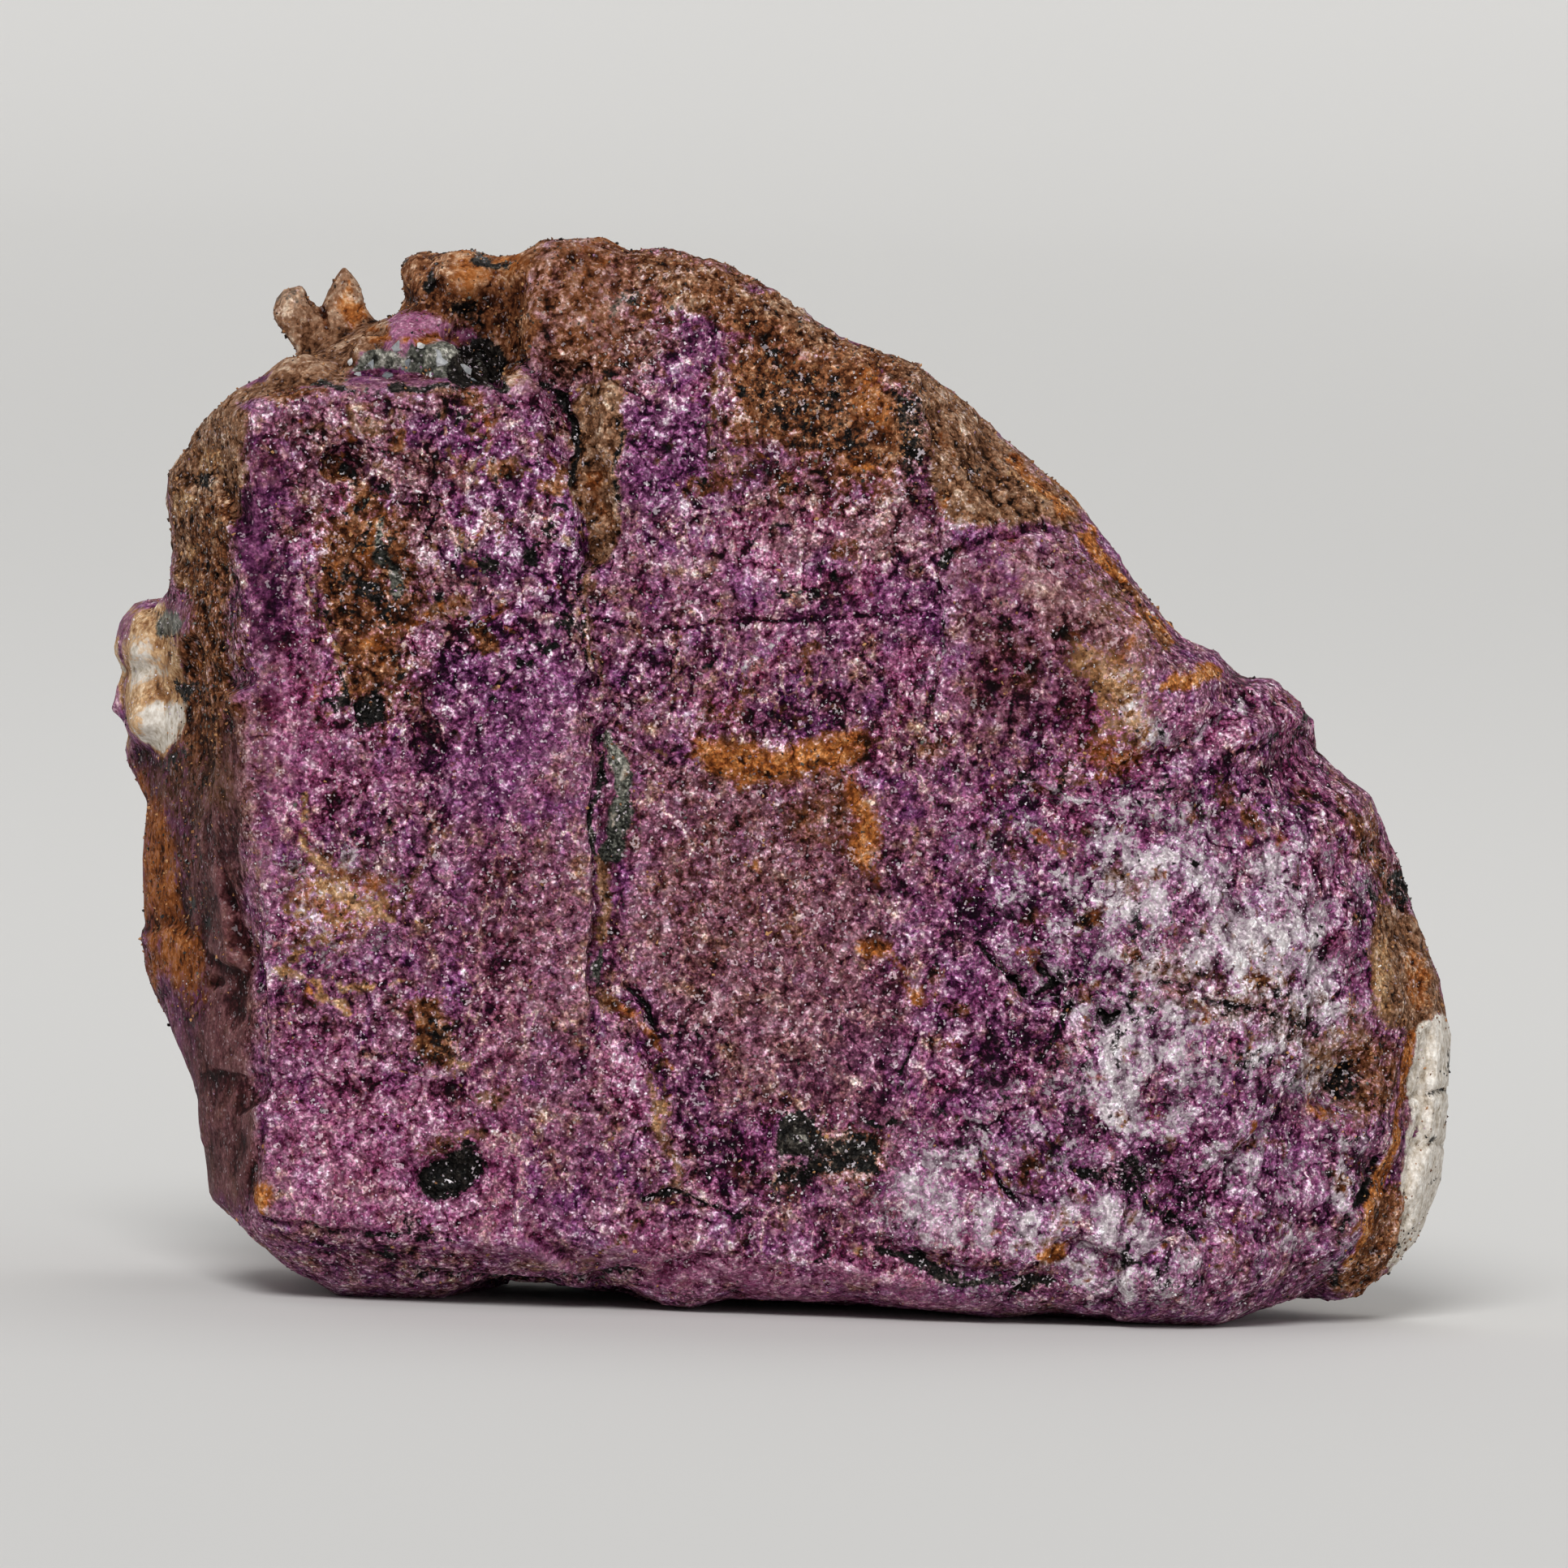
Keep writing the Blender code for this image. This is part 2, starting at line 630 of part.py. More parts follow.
def cut_foot(stone, collection):
    """Cuts the underside flat and level, as a Boolean with a box below it."""
    foot = point_in_world(CENTRE, FOOT_CUT_V, 0).z
    mesh = bpy.data.meshes.new("foot_cutter")
    form = bmesh.new()
    side = 2 * STONE_WIDTH
    bmesh.ops.create_cube(form, size=side, matrix=Matrix.Translation((0, 0, foot - side / 2)))
    form.to_mesh(mesh)
    form.free()
    cutter = new_object("foot_cutter", mesh, collection)
    cutter.hide_render = True
    cutter.display_type = "WIRE"
    cut = stone.modifiers.new("foot", "BOOLEAN")
    cut.operation = "DIFFERENCE"
    cut.object = cutter
    apply_modifiers(stone)
    return foot


def set_origin(stone, foot):
    """Moves the mesh so that the origin is at the middle of the box's underside, and keeps by how much."""
    places = vertex_places(stone.data)
    middle = (places.min(axis=0) + places.max(axis=0)) / 2
    origin = (middle[0], middle[1], foot)
    set_vertex_places(stone.data, places - origin)
    stone["origin_in_picture_axes"] = origin


def stone_material():
    """Deep violet purpurite, dull and slightly glistening."""
    material = bpy.data.materials.new("purpurite")
    material.use_nodes = True
    shader = material.node_tree.nodes["Principled BSDF"]
    shader.inputs["Base Color"].default_value = PURPLE
    shader.inputs["Roughness"].default_value = STONE_ROUGHNESS
    shader.inputs["Metallic"].default_value = 0.0
    return material


def main():
    """Builds the stone."""
    clear_scene()
    parts = new_collection("purpurite specimen")
    cutters = new_collection("cutters")
    stone = outline_slab(parts)
    press_to_shape(stone)
    add_outgrowths(stone, parts)
    roughen(stone)
    thin_out(stone)
    foot = cut_foot(stone, cutters)
    set_origin(stone, foot)
    stone.data.materials.append(stone_material())


main()
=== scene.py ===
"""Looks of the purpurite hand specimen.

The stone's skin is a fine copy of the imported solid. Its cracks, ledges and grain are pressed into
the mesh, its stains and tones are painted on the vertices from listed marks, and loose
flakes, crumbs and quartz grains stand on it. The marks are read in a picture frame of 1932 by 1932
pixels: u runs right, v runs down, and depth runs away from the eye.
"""

import json
import logging
import math
from collections.abc import Callable
from dataclasses import dataclass
from enum import Enum

import bmesh
import bpy
import numpy as np
from mathutils import Matrix, Vector
from mathutils.bvhtree import BVHTree

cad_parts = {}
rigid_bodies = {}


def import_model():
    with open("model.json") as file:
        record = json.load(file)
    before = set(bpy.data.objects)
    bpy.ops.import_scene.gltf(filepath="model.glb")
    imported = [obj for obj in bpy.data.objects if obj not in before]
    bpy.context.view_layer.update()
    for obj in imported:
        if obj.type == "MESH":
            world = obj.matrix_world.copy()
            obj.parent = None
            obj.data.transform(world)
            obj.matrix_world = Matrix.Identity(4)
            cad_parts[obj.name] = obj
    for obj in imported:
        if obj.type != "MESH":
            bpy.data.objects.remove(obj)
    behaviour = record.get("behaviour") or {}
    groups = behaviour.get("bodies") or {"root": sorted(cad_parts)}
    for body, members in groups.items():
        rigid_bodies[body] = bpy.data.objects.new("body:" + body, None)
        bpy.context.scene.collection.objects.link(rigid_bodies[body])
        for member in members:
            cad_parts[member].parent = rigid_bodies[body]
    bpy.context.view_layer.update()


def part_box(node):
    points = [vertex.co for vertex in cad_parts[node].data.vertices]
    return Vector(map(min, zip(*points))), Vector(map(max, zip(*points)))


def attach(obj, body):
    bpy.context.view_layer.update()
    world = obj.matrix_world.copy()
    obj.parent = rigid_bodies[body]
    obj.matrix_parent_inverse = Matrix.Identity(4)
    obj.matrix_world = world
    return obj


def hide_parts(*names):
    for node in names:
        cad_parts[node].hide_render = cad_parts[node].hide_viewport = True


LOG = logging.getLogger("purpurite")
STONE_NODE = "purpurite_specimen"
MILLIMETRE = 0.001
WILD_SOFTNESS = 45.0

Points = tuple[tuple[float, float], ...]


def smooth_rise(values: np.ndarray, start: float, end: float) -> np.ndarray:
    """0 before start, 1 after end, and a smooth rise between them."""
    share = np.clip((values - start) / (end - start), 0.0, 1.0)
    return share * share * (3.0 - 2.0 * share)


def shade(red: int, green: int, blue: int) -> tuple[float, float, float, float]:
    """A colour named as it looks on a screen, 0 to 255, as the linear colour a shader needs."""
    parts = [part / 255.0 for part in (red, green, blue)]
    linear = [part / 12.92 if part < 0.04045 else ((part + 0.055) / 1.055) ** 2.4 for part in parts]
    return (linear[0], linear[1], linear[2], 1.0)


@dataclass(frozen=True)
class PictureFrame:
    """The eye's frame: which place of the part each pixel of the picture shows."""

    side: int = 1932
    stone_width: float = 0.066
    stone_pixels: int = 1650
    distance: float = 1.2
    elevation: float = math.radians(3.0)
    roll: float = math.radians(2.0)
    sensor: float = 36.0
    origin: tuple[float, float, float] = (0.000003, 0.017278, -0.026428)

    @property
    def pixel(self) -> float:
        """Metres that one pixel covers on the stone's front face."""
        return self.stone_width / self.stone_pixels

    def axes(self) -> tuple[np.ndarray, np.ndarray, np.ndarray]:
        """The eye's right, up and forward directions in the part's frame."""
        level_right = np.array([1.0, 0.0, 0.0])
        level_up = np.array([0.0, math.sin(self.elevation), math.cos(self.elevation)])
        forward = np.array([0.0, math.cos(self.elevation), -math.sin(self.elevation)])
        right = math.cos(self.roll) * level_right + math.sin(self.roll) * level_up
        up = -math.sin(self.roll) * level_right + math.cos(self.roll) * level_up
        return right, up, forward

    def read(self, places: np.ndarray) -> np.ndarray:
        """Turns places of the part into the picture.

        Args:
            places: One place a row, in metres.

        Returns:
            One row of u, v and depth for each place, in pixels.
        """
        right, up, forward = self.axes()
        moved = places + np.array(self.origin)
        depth = moved @ forward / self.pixel
        spread = self.pixel * (1.0 + depth * self.pixel / self.distance)
        middle = self.side / 2
        u = middle + moved @ right / spread
        v = middle - moved @ up / spread
        return np.column_stack([u, v, depth])

    def ray(self, u: float, v: float) -> tuple[Vector, Vector]:
        """The eye's place and the direction in which it sees a pixel."""
        right, up, forward = self.axes()
        eye = -np.array(self.origin) - forward * self.distance
        middle = self.side / 2
        aim = right * (u - middle) * self.pixel + up * (middle - v) * self.pixel
        aim = aim + forward * self.distance
        return Vector(eye), Vector(aim).normalized()

    def add_camera(self) -> bpy.types.Object:
        """Adds the camera at the eye, looking at the picture's middle."""
        right, up, forward = self.axes()
        turn = Matrix([right, up, -forward]).transposed().to_4x4()
        eye, _ = self.ray(self.side / 2, self.side / 2)
        camera = bpy.data.objects.new("camera", bpy.data.cameras.new("camera"))
        camera.matrix_world = Matrix.Translation(eye) @ turn
        camera.data.sensor_width = self.sensor
        camera.data.lens = self.sensor * self.distance / (self.side * self.pixel)
        camera.data.clip_start = 0.01
        bpy.context.scene.collection.objects.link(camera)
        bpy.context.scene.camera = camera
        return camera


@dataclass(frozen=True)
class StoneNoise:
    """Repeatable noise on arrays of places, the same in every run."""

    seed: int

    def even(self, cells: np.ndarray, channel: int = 0) -> np.ndarray:
        """One even number from 0 to 1 for each whole-numbered cell."""
        mixed = cells[:, 0] * 374761393 + cells[:, 1] * 668265263 + cells[:, 2] * 1440662683
        mixed = (mixed + (self.seed * 31 + channel) * 362437) & 0xFFFFFFFF
        mixed = ((mixed ^ (mixed >> 13)) * 1274126177) & 0xFFFFFFFF
        mixed = mixed ^ (mixed >> 16)
        return mixed / 2.0**32

    def smooth(self, places: np.ndarray, size: float) -> np.ndarray:
        """Smooth noise from -1 to 1 whose hills are about size apart."""
        scaled = places / size
        base = np.floor(scaled).astype(np.int64)
        share = scaled - base
        share = share * share * (3.0 - 2.0 * share)
        total = np.zeros(len(places))
        for corner in np.ndindex(2, 2, 2):
            weight = np.prod(np.where(np.array(corner) == 1, share, 1.0 - share), axis=1)
            total += weight * self.even(base + np.array(corner))
        return total * 2.0 - 1.0

    def rough(self, places: np.ndarray, size: float, layers: int = 3) -> np.ndarray:
        """Layers of smooth noise, each of half the size and half the height of the one before."""
        total = np.zeros(len(places))
        for layer in range(layers):
            moved = places + size * 7.3 * (layer + 1)
            total += self.smooth(moved, size / 2**layer) / 2**layer
        return total

    def crumbs(self, places: np.ndarray, size: float) -> tuple[np.ndarray, np.ndarray]:
        """Packed grains of about one size.

        Args:
            places: One place a row.
            size: How far apart the grains' middles lie.

        Returns:
            How far each place is into its grain, from 0 at its edge, and the grain's own number.
        """
        scaled = places / size
        base = np.floor(scaled).astype(np.int64)
        nearest = np.full(len(places), 9.0)
        second = np.full(len(places), 9.0)
        own = np.zeros(len(places))
        for step in np.ndindex(3, 3, 3):
            cell = base + np.array(step) - 1
            middle = cell + np.column_stack([self.even(cell, channel) for channel in (1, 2, 3)])
            gap = np.linalg.norm(scaled - middle, axis=1)
            closer = gap < nearest
            second = np.where(closer, nearest, np.minimum(second, gap))
            own = np.where(closer, self.even(cell, 4), own)
            nearest = np.where(closer, gap, nearest)
        return second - nearest, own


class Paint(Enum):
    """What a mark lays on the stone. The value is the name of the attribute that holds it."""

    RUST = "rust"
    OCHRE = "ochre"
    TAN = "tan"
    CREAM = "cream"
    BLOOM = "bloom"
    OXIDE = "oxide"
    SLATE = "slate"
    CHALK = "chalk"
    VIOLET = "violet"
    MAGENTA = "magenta"
    MAUVE = "mauve"
    LIGHT = "light"
    DARK = "dark"
    CALM = "calm"
    MIXED = "mixed"


(RUST, OCHRE, TAN, CREAM, BLOOM, OXIDE, SLATE, CHALK, VIOLET, MAGENTA, MAUVE, LIGHT, DARK, CALM,
 MIXED) = Paint


def line_gap(where: np.ndarray, path: Points) -> np.ndarray:
    """How far each (u, v) is from a line through the path's points."""
    gap = np.full(len(where), np.inf)
    corners = np.array(path, float)
    if len(corners) == 1:
        return np.linalg.norm(where - corners[0], axis=1)
    for start, end in zip(corners[:-1], corners[1:]):
        run = end - start
        share = np.clip((where - start) @ run / max(run @ run, 1e-9), 0.0, 1.0)
        gap = np.minimum(gap, np.linalg.norm(where - start - share[:, None] * run, axis=1))
    return gap


def is_inside(where: np.ndarray, ring: Points) -> np.ndarray:
    """Whether each (u, v) lies inside a closed ring of points."""
    inside = np.zeros(len(where), bool)
    corners = np.array(ring, float)
    for start, end in zip(corners, np.roll(corners, -1, axis=0)):
        if start[1] == end[1]:
            continue
        crosses = (start[1] > where[:, 1]) != (end[1] > where[:, 1])
        at = start[0] + (where[:, 1] - start[1]) / (end[1] - start[1]) * (end[0] - start[0])
        inside ^= crosses & (where[:, 0] < at)
    return inside


@dataclass(frozen=True)
class Mark:
    """A stain, line or tone of the stone, read in the picture.

    The path is a line of (u, v) points, one point, or the edge of a patch if filled is set.
    """

    paint: Paint
    path: Points
    reach: float
    soft: float
    strength: float
    filled: bool = False

    def cover(self, fine: np.ndarray, wild: np.ndarray) -> tuple[np.ndarray, np.ndarray]:
        """Lays the mark.

        Args:
            fine: The (u, v) of each vertex, shaken a little.
            wild: The same, shaken more. The softer a mark, the nearer it comes to this.

        Returns:
            The numbers of the vertices that it can reach, and how strong it is on each.
        """
        where = fine + (wild - fine) * min(self.soft / WILD_SOFTNESS, 1.0)
        margin = self.reach + self.soft
        corners = np.array(self.path, float)
        near = np.all((where > corners.min(0) - margin) & (where < corners.max(0) + margin), axis=1)
        found = np.flatnonzero(near)
        ring = self.path + self.path[:1] if self.filled else self.path
        gap = line_gap(where[found], ring)
        if self.filled:
            gap = np.where(is_inside(where[found], self.path), -gap, gap)
        share = smooth_rise(-gap, -self.reach - self.soft, -self.reach + self.soft)
        return found, share * self.strength


def points(text: str) -> Points:
    """The (u, v) points that a text such as "300,590 352,600" names."""
    return tuple(tuple(float(number) for number in point.split(",")) for point in text.split())


def line(paint: Paint, reach: float, soft: float, strength: float, path: str) -> Mark:
    """A mark along a line: its half width, its soft edge, how strong it is and its points."""
    return Mark(paint, points(path), reach, soft, strength)


def spot(paint: Paint, u: float, v: float, reach: float, soft: float, strength: float = 1.0) -> Mark:
    """A round mark at (u, v)."""
    return Mark(paint, ((u, v),), reach, soft, strength)


def patch(paint: Paint, soft: float, strength: float, ring: str) -> Mark:
    """A filled mark: its soft edge, how strong it is and the points of the ring around it."""
    return Mark(paint, points(ring), 0.0, soft, strength, filled=True)


class StoneMarks:
    """Every stain, line and tone that the stone shows, by where it is."""

    def tones(self) -> list[Mark]:
        """The broad tones of the violet mineral."""
        return [
            patch(VIOLET, 20, 0.7, "300,590 352,600 356,780 300,800"),
            patch(DARK, 24, 0.85, "296,540 352,560 356,800 296,820"),
            patch(VIOLET, 45, 0.75, "520,830 600,770 700,745 716,880 640,1000 520,985"),
            patch(VIOLET, 28, 0.9, "770,500 870,500 880,640 775,650"),
            patch(VIOLET, 30, 0.5, "950,720 1140,730 1150,800 940,800"),
            patch(MAUVE, 50, 0.5, "1170,680 1400,760 1400,900 1180,900"),
            patch(RUST, 50, 0.4, "1190,690 1380,760 1360,860 1200,860"),
            patch(VIOLET, 35, 0.55, "760,1200 860,1260 980,1470 900,1480 800,1330"),
            patch(VIOLET, 70, 0.55, "1050,1110 1330,990 1500,930 1620,960 1400,1200 1200,1330"),
            patch(VIOLET, 60, 0.5, "1100,1380 1650,1300 1640,1560 1200,1520"),
            patch(MAGENTA, 40, 0.7, "330,770 420,800 430,1000 330,1040"),
            patch(MAGENTA, 60, 0.6, "330,1330 480,1300 640,1370 700,1560 320,1500"),
            patch(MAGENTA, 30, 0.8, "1290,860 1430,850 1440,980 1330,990"),
            patch(MAGENTA, 30, 0.7, "770,1500 1000,1560 1200,1590 1200,1620 780,1590"),
            patch(MAGENTA, 45, 0.4, "1440,1310 1570,1320 1640,1440 1600,1600 1430,1600"),
            patch(LIGHT, 60, 0.6, "1400,1320 1640,1320 1650,1580 1420,1590"),
            patch(MAGENTA, 40, 0.35, "640,440 740,380 700,470"),
            patch(MAUVE, 35, 0.85, "640,260 780,260 860,320 800,480 660,470"),
            patch(RUST, 30, 0.6, "780,260 900,290 1000,380 900,400 800,340"),
            patch(MAUVE, 45, 0.55, "310,510 640,490 690,640 560,760 380,640"),
            patch(MAUVE, 60, 0.55, "770,930 1060,900 1130,1180 1100,1440 800,1300"),
            patch(RUST, 60, 0.34, "780,930 1000,940 1060,1120 900,1220 790,1150"),
            patch(VIOLET, 45, 0.5, "1010,1230 1160,1240 1160,1370 960,1350"),
            patch(MAUVE, 35, 0.6, "880,580 1140,590 1150,700 950,690"),
            patch(MAUVE, 30, 0.7, "1270,640 1440,800 1340,850 1260,760"),
            patch(MAUVE, 60, 0.4, "560,1060 740,1000 740,1400 560,1340"),
            patch(LIGHT, 35, 0.75, "540,570 690,590 690,700 560,710"),
            patch(LIGHT, 40, 0.65, "800,640 1130,640 1130,740 830,740"),
            patch(LIGHT, 22, 0.7, "810,390 880,400 870,480 810,490"),
            patch(LIGHT, 22, 0.8, "790,860 870,850 870,900 800,910"),
            patch(LIGHT, 22, 0.6, "820,780 960,790 930,840 840,830"),
            patch(LIGHT, 22, 0.8, "330,1410 430,1420 440,1490 330,1480"),
            patch(LIGHT, 25, 0.6, "340,1290 480,1290 470,1350 350,1340"),
            patch(LIGHT, 25, 0.5, "340,840 400,850 400,960 350,960"),
            patch(LIGHT, 30, 0.5, "620,900 720,900 720,1010 640,1020"),
            patch(LIGHT, 35, 0.45, "600,1170 720,1150 720,1300 620,1290"),
            patch(LIGHT, 14, 0.75, "640,1360 700,1360 690,1420 650,1410"),
            patch(LIGHT, 40, 0.7, "1080,1430 1400,1440 1350,1550 1080,1530"),
            patch(LIGHT, 60, 0.8, "1380,1030 1640,1040 1680,1280 1400,1340"),
            patch(LIGHT, 20, 0.4, "560,1520 760,1530 900,1590 600,1560"),
            patch(DARK, 22, 0.8, "500,840 540,830 560,960 510,970"),
            patch(DARK, 12, 1, "400,545 450,550 440,600 405,600"),
            patch(DARK, 12, 0.8, "520,560 560,560 530,640 495,640"),
            patch(DARK, 35, 0.6, "700,770 860,800 870,860 760,880"),
            patch(DARK, 12, 0.8, "960,740 1060,735 1050,765 980,770"),
            patch(DARK, 20, 0.9, "1170,1080 1220,1090 1240,1160 1180,1150"),
            patch(DARK, 25, 0.6, "1040,1050 1110,1000 1120,1100 1070,1120"),
            patch(DARK, 18, 0.7, "780,1190 830,1230 830,1300 790,1270"),
            patch(DARK, 22, 0.8, "860,1400 940,1380 940,1470 880,1470"),
            patch(DARK, 20, 0.45, "330,1500 600,1520 620,1570 400,1560"),
            patch(DARK, 30, 0.6, "1180,1260 1300,1230 1290,1320 1190,1360"),
            patch(DARK, 35, 0.5, "1400,1410 1560,1440 1500,1560 1420,1520"),
            patch(DARK, 45, 0.62, "1170,700 1400,760 1400,900 1180,930"),
            patch(DARK, 18, 0.6, "590,1180 640,1150 650,1200 600,1220"),
            patch(CALM, 20, 1, "140,950 300,850 314,1500 240,1500"),
            patch(CALM, 18, 0.6, "320,1500 780,1580 1250,1620 1250,1600 700,1535"),
            patch(CALM, 20, 0.5, "300,560 350,560 350,1100 310,1100"),
            patch(CALM, 25, 0.55, "1170,690 1300,660 1420,790 1300,900 1180,900"),
            patch(CALM, 20, 0.6, "640,300 770,295 770,420 650,430"),
            patch(CALM, 12, 0.9, "145,740 228,740 228,925 150,930"),
            patch(MIXED, 50, 1, "350,480 750,470 740,780 560,900 400,900 340,640"),
            patch(MIXED, 60, 0.75, "1180,980 1420,860 1600,860 1720,1080 1740,1500 1560,1620 "
                  "1180,1560 1120,1250"),
            patch(MIXED, 50, 0.75, "770,320 1020,400 1250,560 1400,790 1300,960 1100,760 780,700"),
            patch(MIXED, 40, 0.7, "740,760 1150,760 1180,960 760,960"),
            patch(MIXED, 40, 0.4, "330,1180 620,1180 640,1420 560,1500 480,1380 330,1300"),
            patch(MIXED, 40, 0.7, "760,1180 900,1300 960,1480 820,1500 720,1300"),
            patch(MIXED, 40, 0.5, "330,940 560,960 540,1160 330,1160"),
            patch(MIXED, 30, 0.5, "500,1480 1300,1520 1300,1620 500,1590"),
        ]

    def left_flank(self) -> list[Mark]:
        """The flank that falls back on the left, with its cream lumps and the painted shade of its
        turned-away face.
        """
        return [
            patch(TAN, 14, 0.95, "190,520 300,470 300,640 250,760 205,720"),
            # Darker tone on the upper flank that turns away from the light: painted shade.
            patch(DARK, 20, 0.5, "190,520 300,470 300,880 205,900"),
            patch(RUST, 22, 0.75, "228,610 296,600 298,900 240,960 200,940"),
            patch(TAN, 26, 0.5, "160,930 290,880 296,1010 190,1010"),
            patch(OCHRE, 22, 0.7, "160,930 196,960 240,1150 240,1230 180,1200 165,1000"),
            patch(RUST, 30, 0.55, "180,1010 260,1000 250,1230 200,1260"),
            patch(MAUVE, 22, 0.9, "230,900 306,880 314,1480 240,1480"),
            # Darker tone over the flank that turns away from the light: painted shade.
            patch(DARK, 24, 0.85, "130,940 300,860 312,1500 250,1520 150,1180"),
            spot(CREAM, 251, 570, 17, 12),
            spot(CREAM, 222, 622, 15, 13, 0.8),
            spot(CREAM, 262, 646, 9, 9, 0.9),
            spot(CREAM, 236, 684, 10, 9, 0.8),
            spot(CREAM, 228, 722, 10, 10, 0.8),
            patch(CREAM, 9, 1, "146,800 166,752 196,744 214,780 226,850 222,905 190,928 156,905"),
            patch(CHALK, 14, 0.75, "152,800 190,775 204,830 165,850"),
            patch(CHALK, 9, 0.9, "165,872 226,868 216,915 170,916"),
            spot(SLATE, 206, 766, 15, 8, 0.95),
            line(OXIDE, 8, 8, 0.9, "212,842 228,862 238,850"),
            spot(OXIDE, 243, 594, 11, 8, 0.8),
            spot(OXIDE, 244, 1110, 9, 8, 0.85),
            spot(OXIDE, 256, 1136, 7, 7, 0.8),
            spot(OXIDE, 238, 1260, 9, 8, 0.6),
            # White spot on a glint: painted highlight, which also draws white frost grains there.
            spot(BLOOM, 230, 1212, 6, 6, 0.9),
            spot(OCHRE, 250, 826, 12, 10, 0.7),
            line(OXIDE, 7, 7, 0.8, "196,938 226,928"),
        ]

    def top_ledge(self) -> list[Mark]:
        """The shelf on the top left with its horns, quartz and rusty block."""
        return [
            patch(TAN, 10, 0.9, "290,476 345,452 420,412 450,412 440,440 430,476 300,500"),
            patch(TAN, 10, 0.8, "590,400 660,430 640,470 600,470"),
            patch(CALM, 12, 0.8, "290,270 668,270 668,480 290,500"),
            patch(RUST, 9, 0.7, "300,490 360,478 420,490 340,508"),
            patch(OXIDE, 8, 1, "556,438 596,408 616,440 626,478 560,478"),
            line(OXIDE, 5, 5, 0.8, "400,478 480,480 560,484"),
            patch(SLATE, 6, 0.95, "430,466 438,438 464,426 494,434 522,420 556,424 580,446 586,468"),
            patch(MAGENTA, 7, 1, "462,396 520,384 562,400 552,414 480,408"),
            line(OCHRE, 6, 7, 0.7, "452,410 500,414 560,418 580,430"),
            patch(TAN, 8, 0.95, "300,310 410,310 405,400 400,470 300,440"),
            patch(SLATE, 12, 0.45, "338,356 372,352 376,380 346,392"),
            patch(TAN, 8, 0.95, "386,440 376,380 400,290 450,290 480,380 470,430"),
            patch(OCHRE, 9, 0.8, "404,375 432,345 446,385 436,412"),
            line(RUST, 4, 5, 0.9, "378,366 398,392 404,412"),
            patch(RUST, 18, 0.88, "470,270 560,270 660,270 668,400 640,480 590,410 480,390"),
            patch(TAN, 12, 0.8, "480,320 524,310 528,390 490,392"),
            patch(OCHRE, 22, 0.55, "560,300 650,290 650,350 600,372 560,350"),
            patch(MAGENTA, 12, 0.6, "520,330 570,340 570,380 530,380"),
            patch(OXIDE, 10, 0.7, "556,372 600,366 600,400 566,402"),
            spot(OXIDE, 502, 322, 6, 6, 0.9),
            spot(OXIDE, 538, 350, 11, 8, 0.85),
            line(OXIDE, 6, 6, 0.9, "596,318 612,332 622,330"),
            spot(OCHRE, 620, 318, 14, 9, 0.7),
            spot(OXIDE, 592, 388, 8, 8, 0.9),
            line(OXIDE, 6, 6, 1, "588,430 604,448 612,470"),
            # White spot on a glint: painted highlight, which also draws white frost grains there.
            spot(BLOOM, 600, 392, 5, 5, 1),
            patch(TAN, 16, 0.75, "780,300 830,300 900,325 880,380 800,400"),
            patch(OCHRE, 10, 0.45, "690,296 765,296 768,318 700,316"),
            spot(SLATE, 770, 372, 16, 12, 0.6),
            patch(RUST, 40, 0.6, "640,250 780,250 850,330 790,470 660,470"),
            line(OCHRE, 4, 7, 0.6, "716,342 732,334 746,322"),
            patch(DARK, 30, 0.4, "650,400 720,390 730,460 660,470"),
        ]

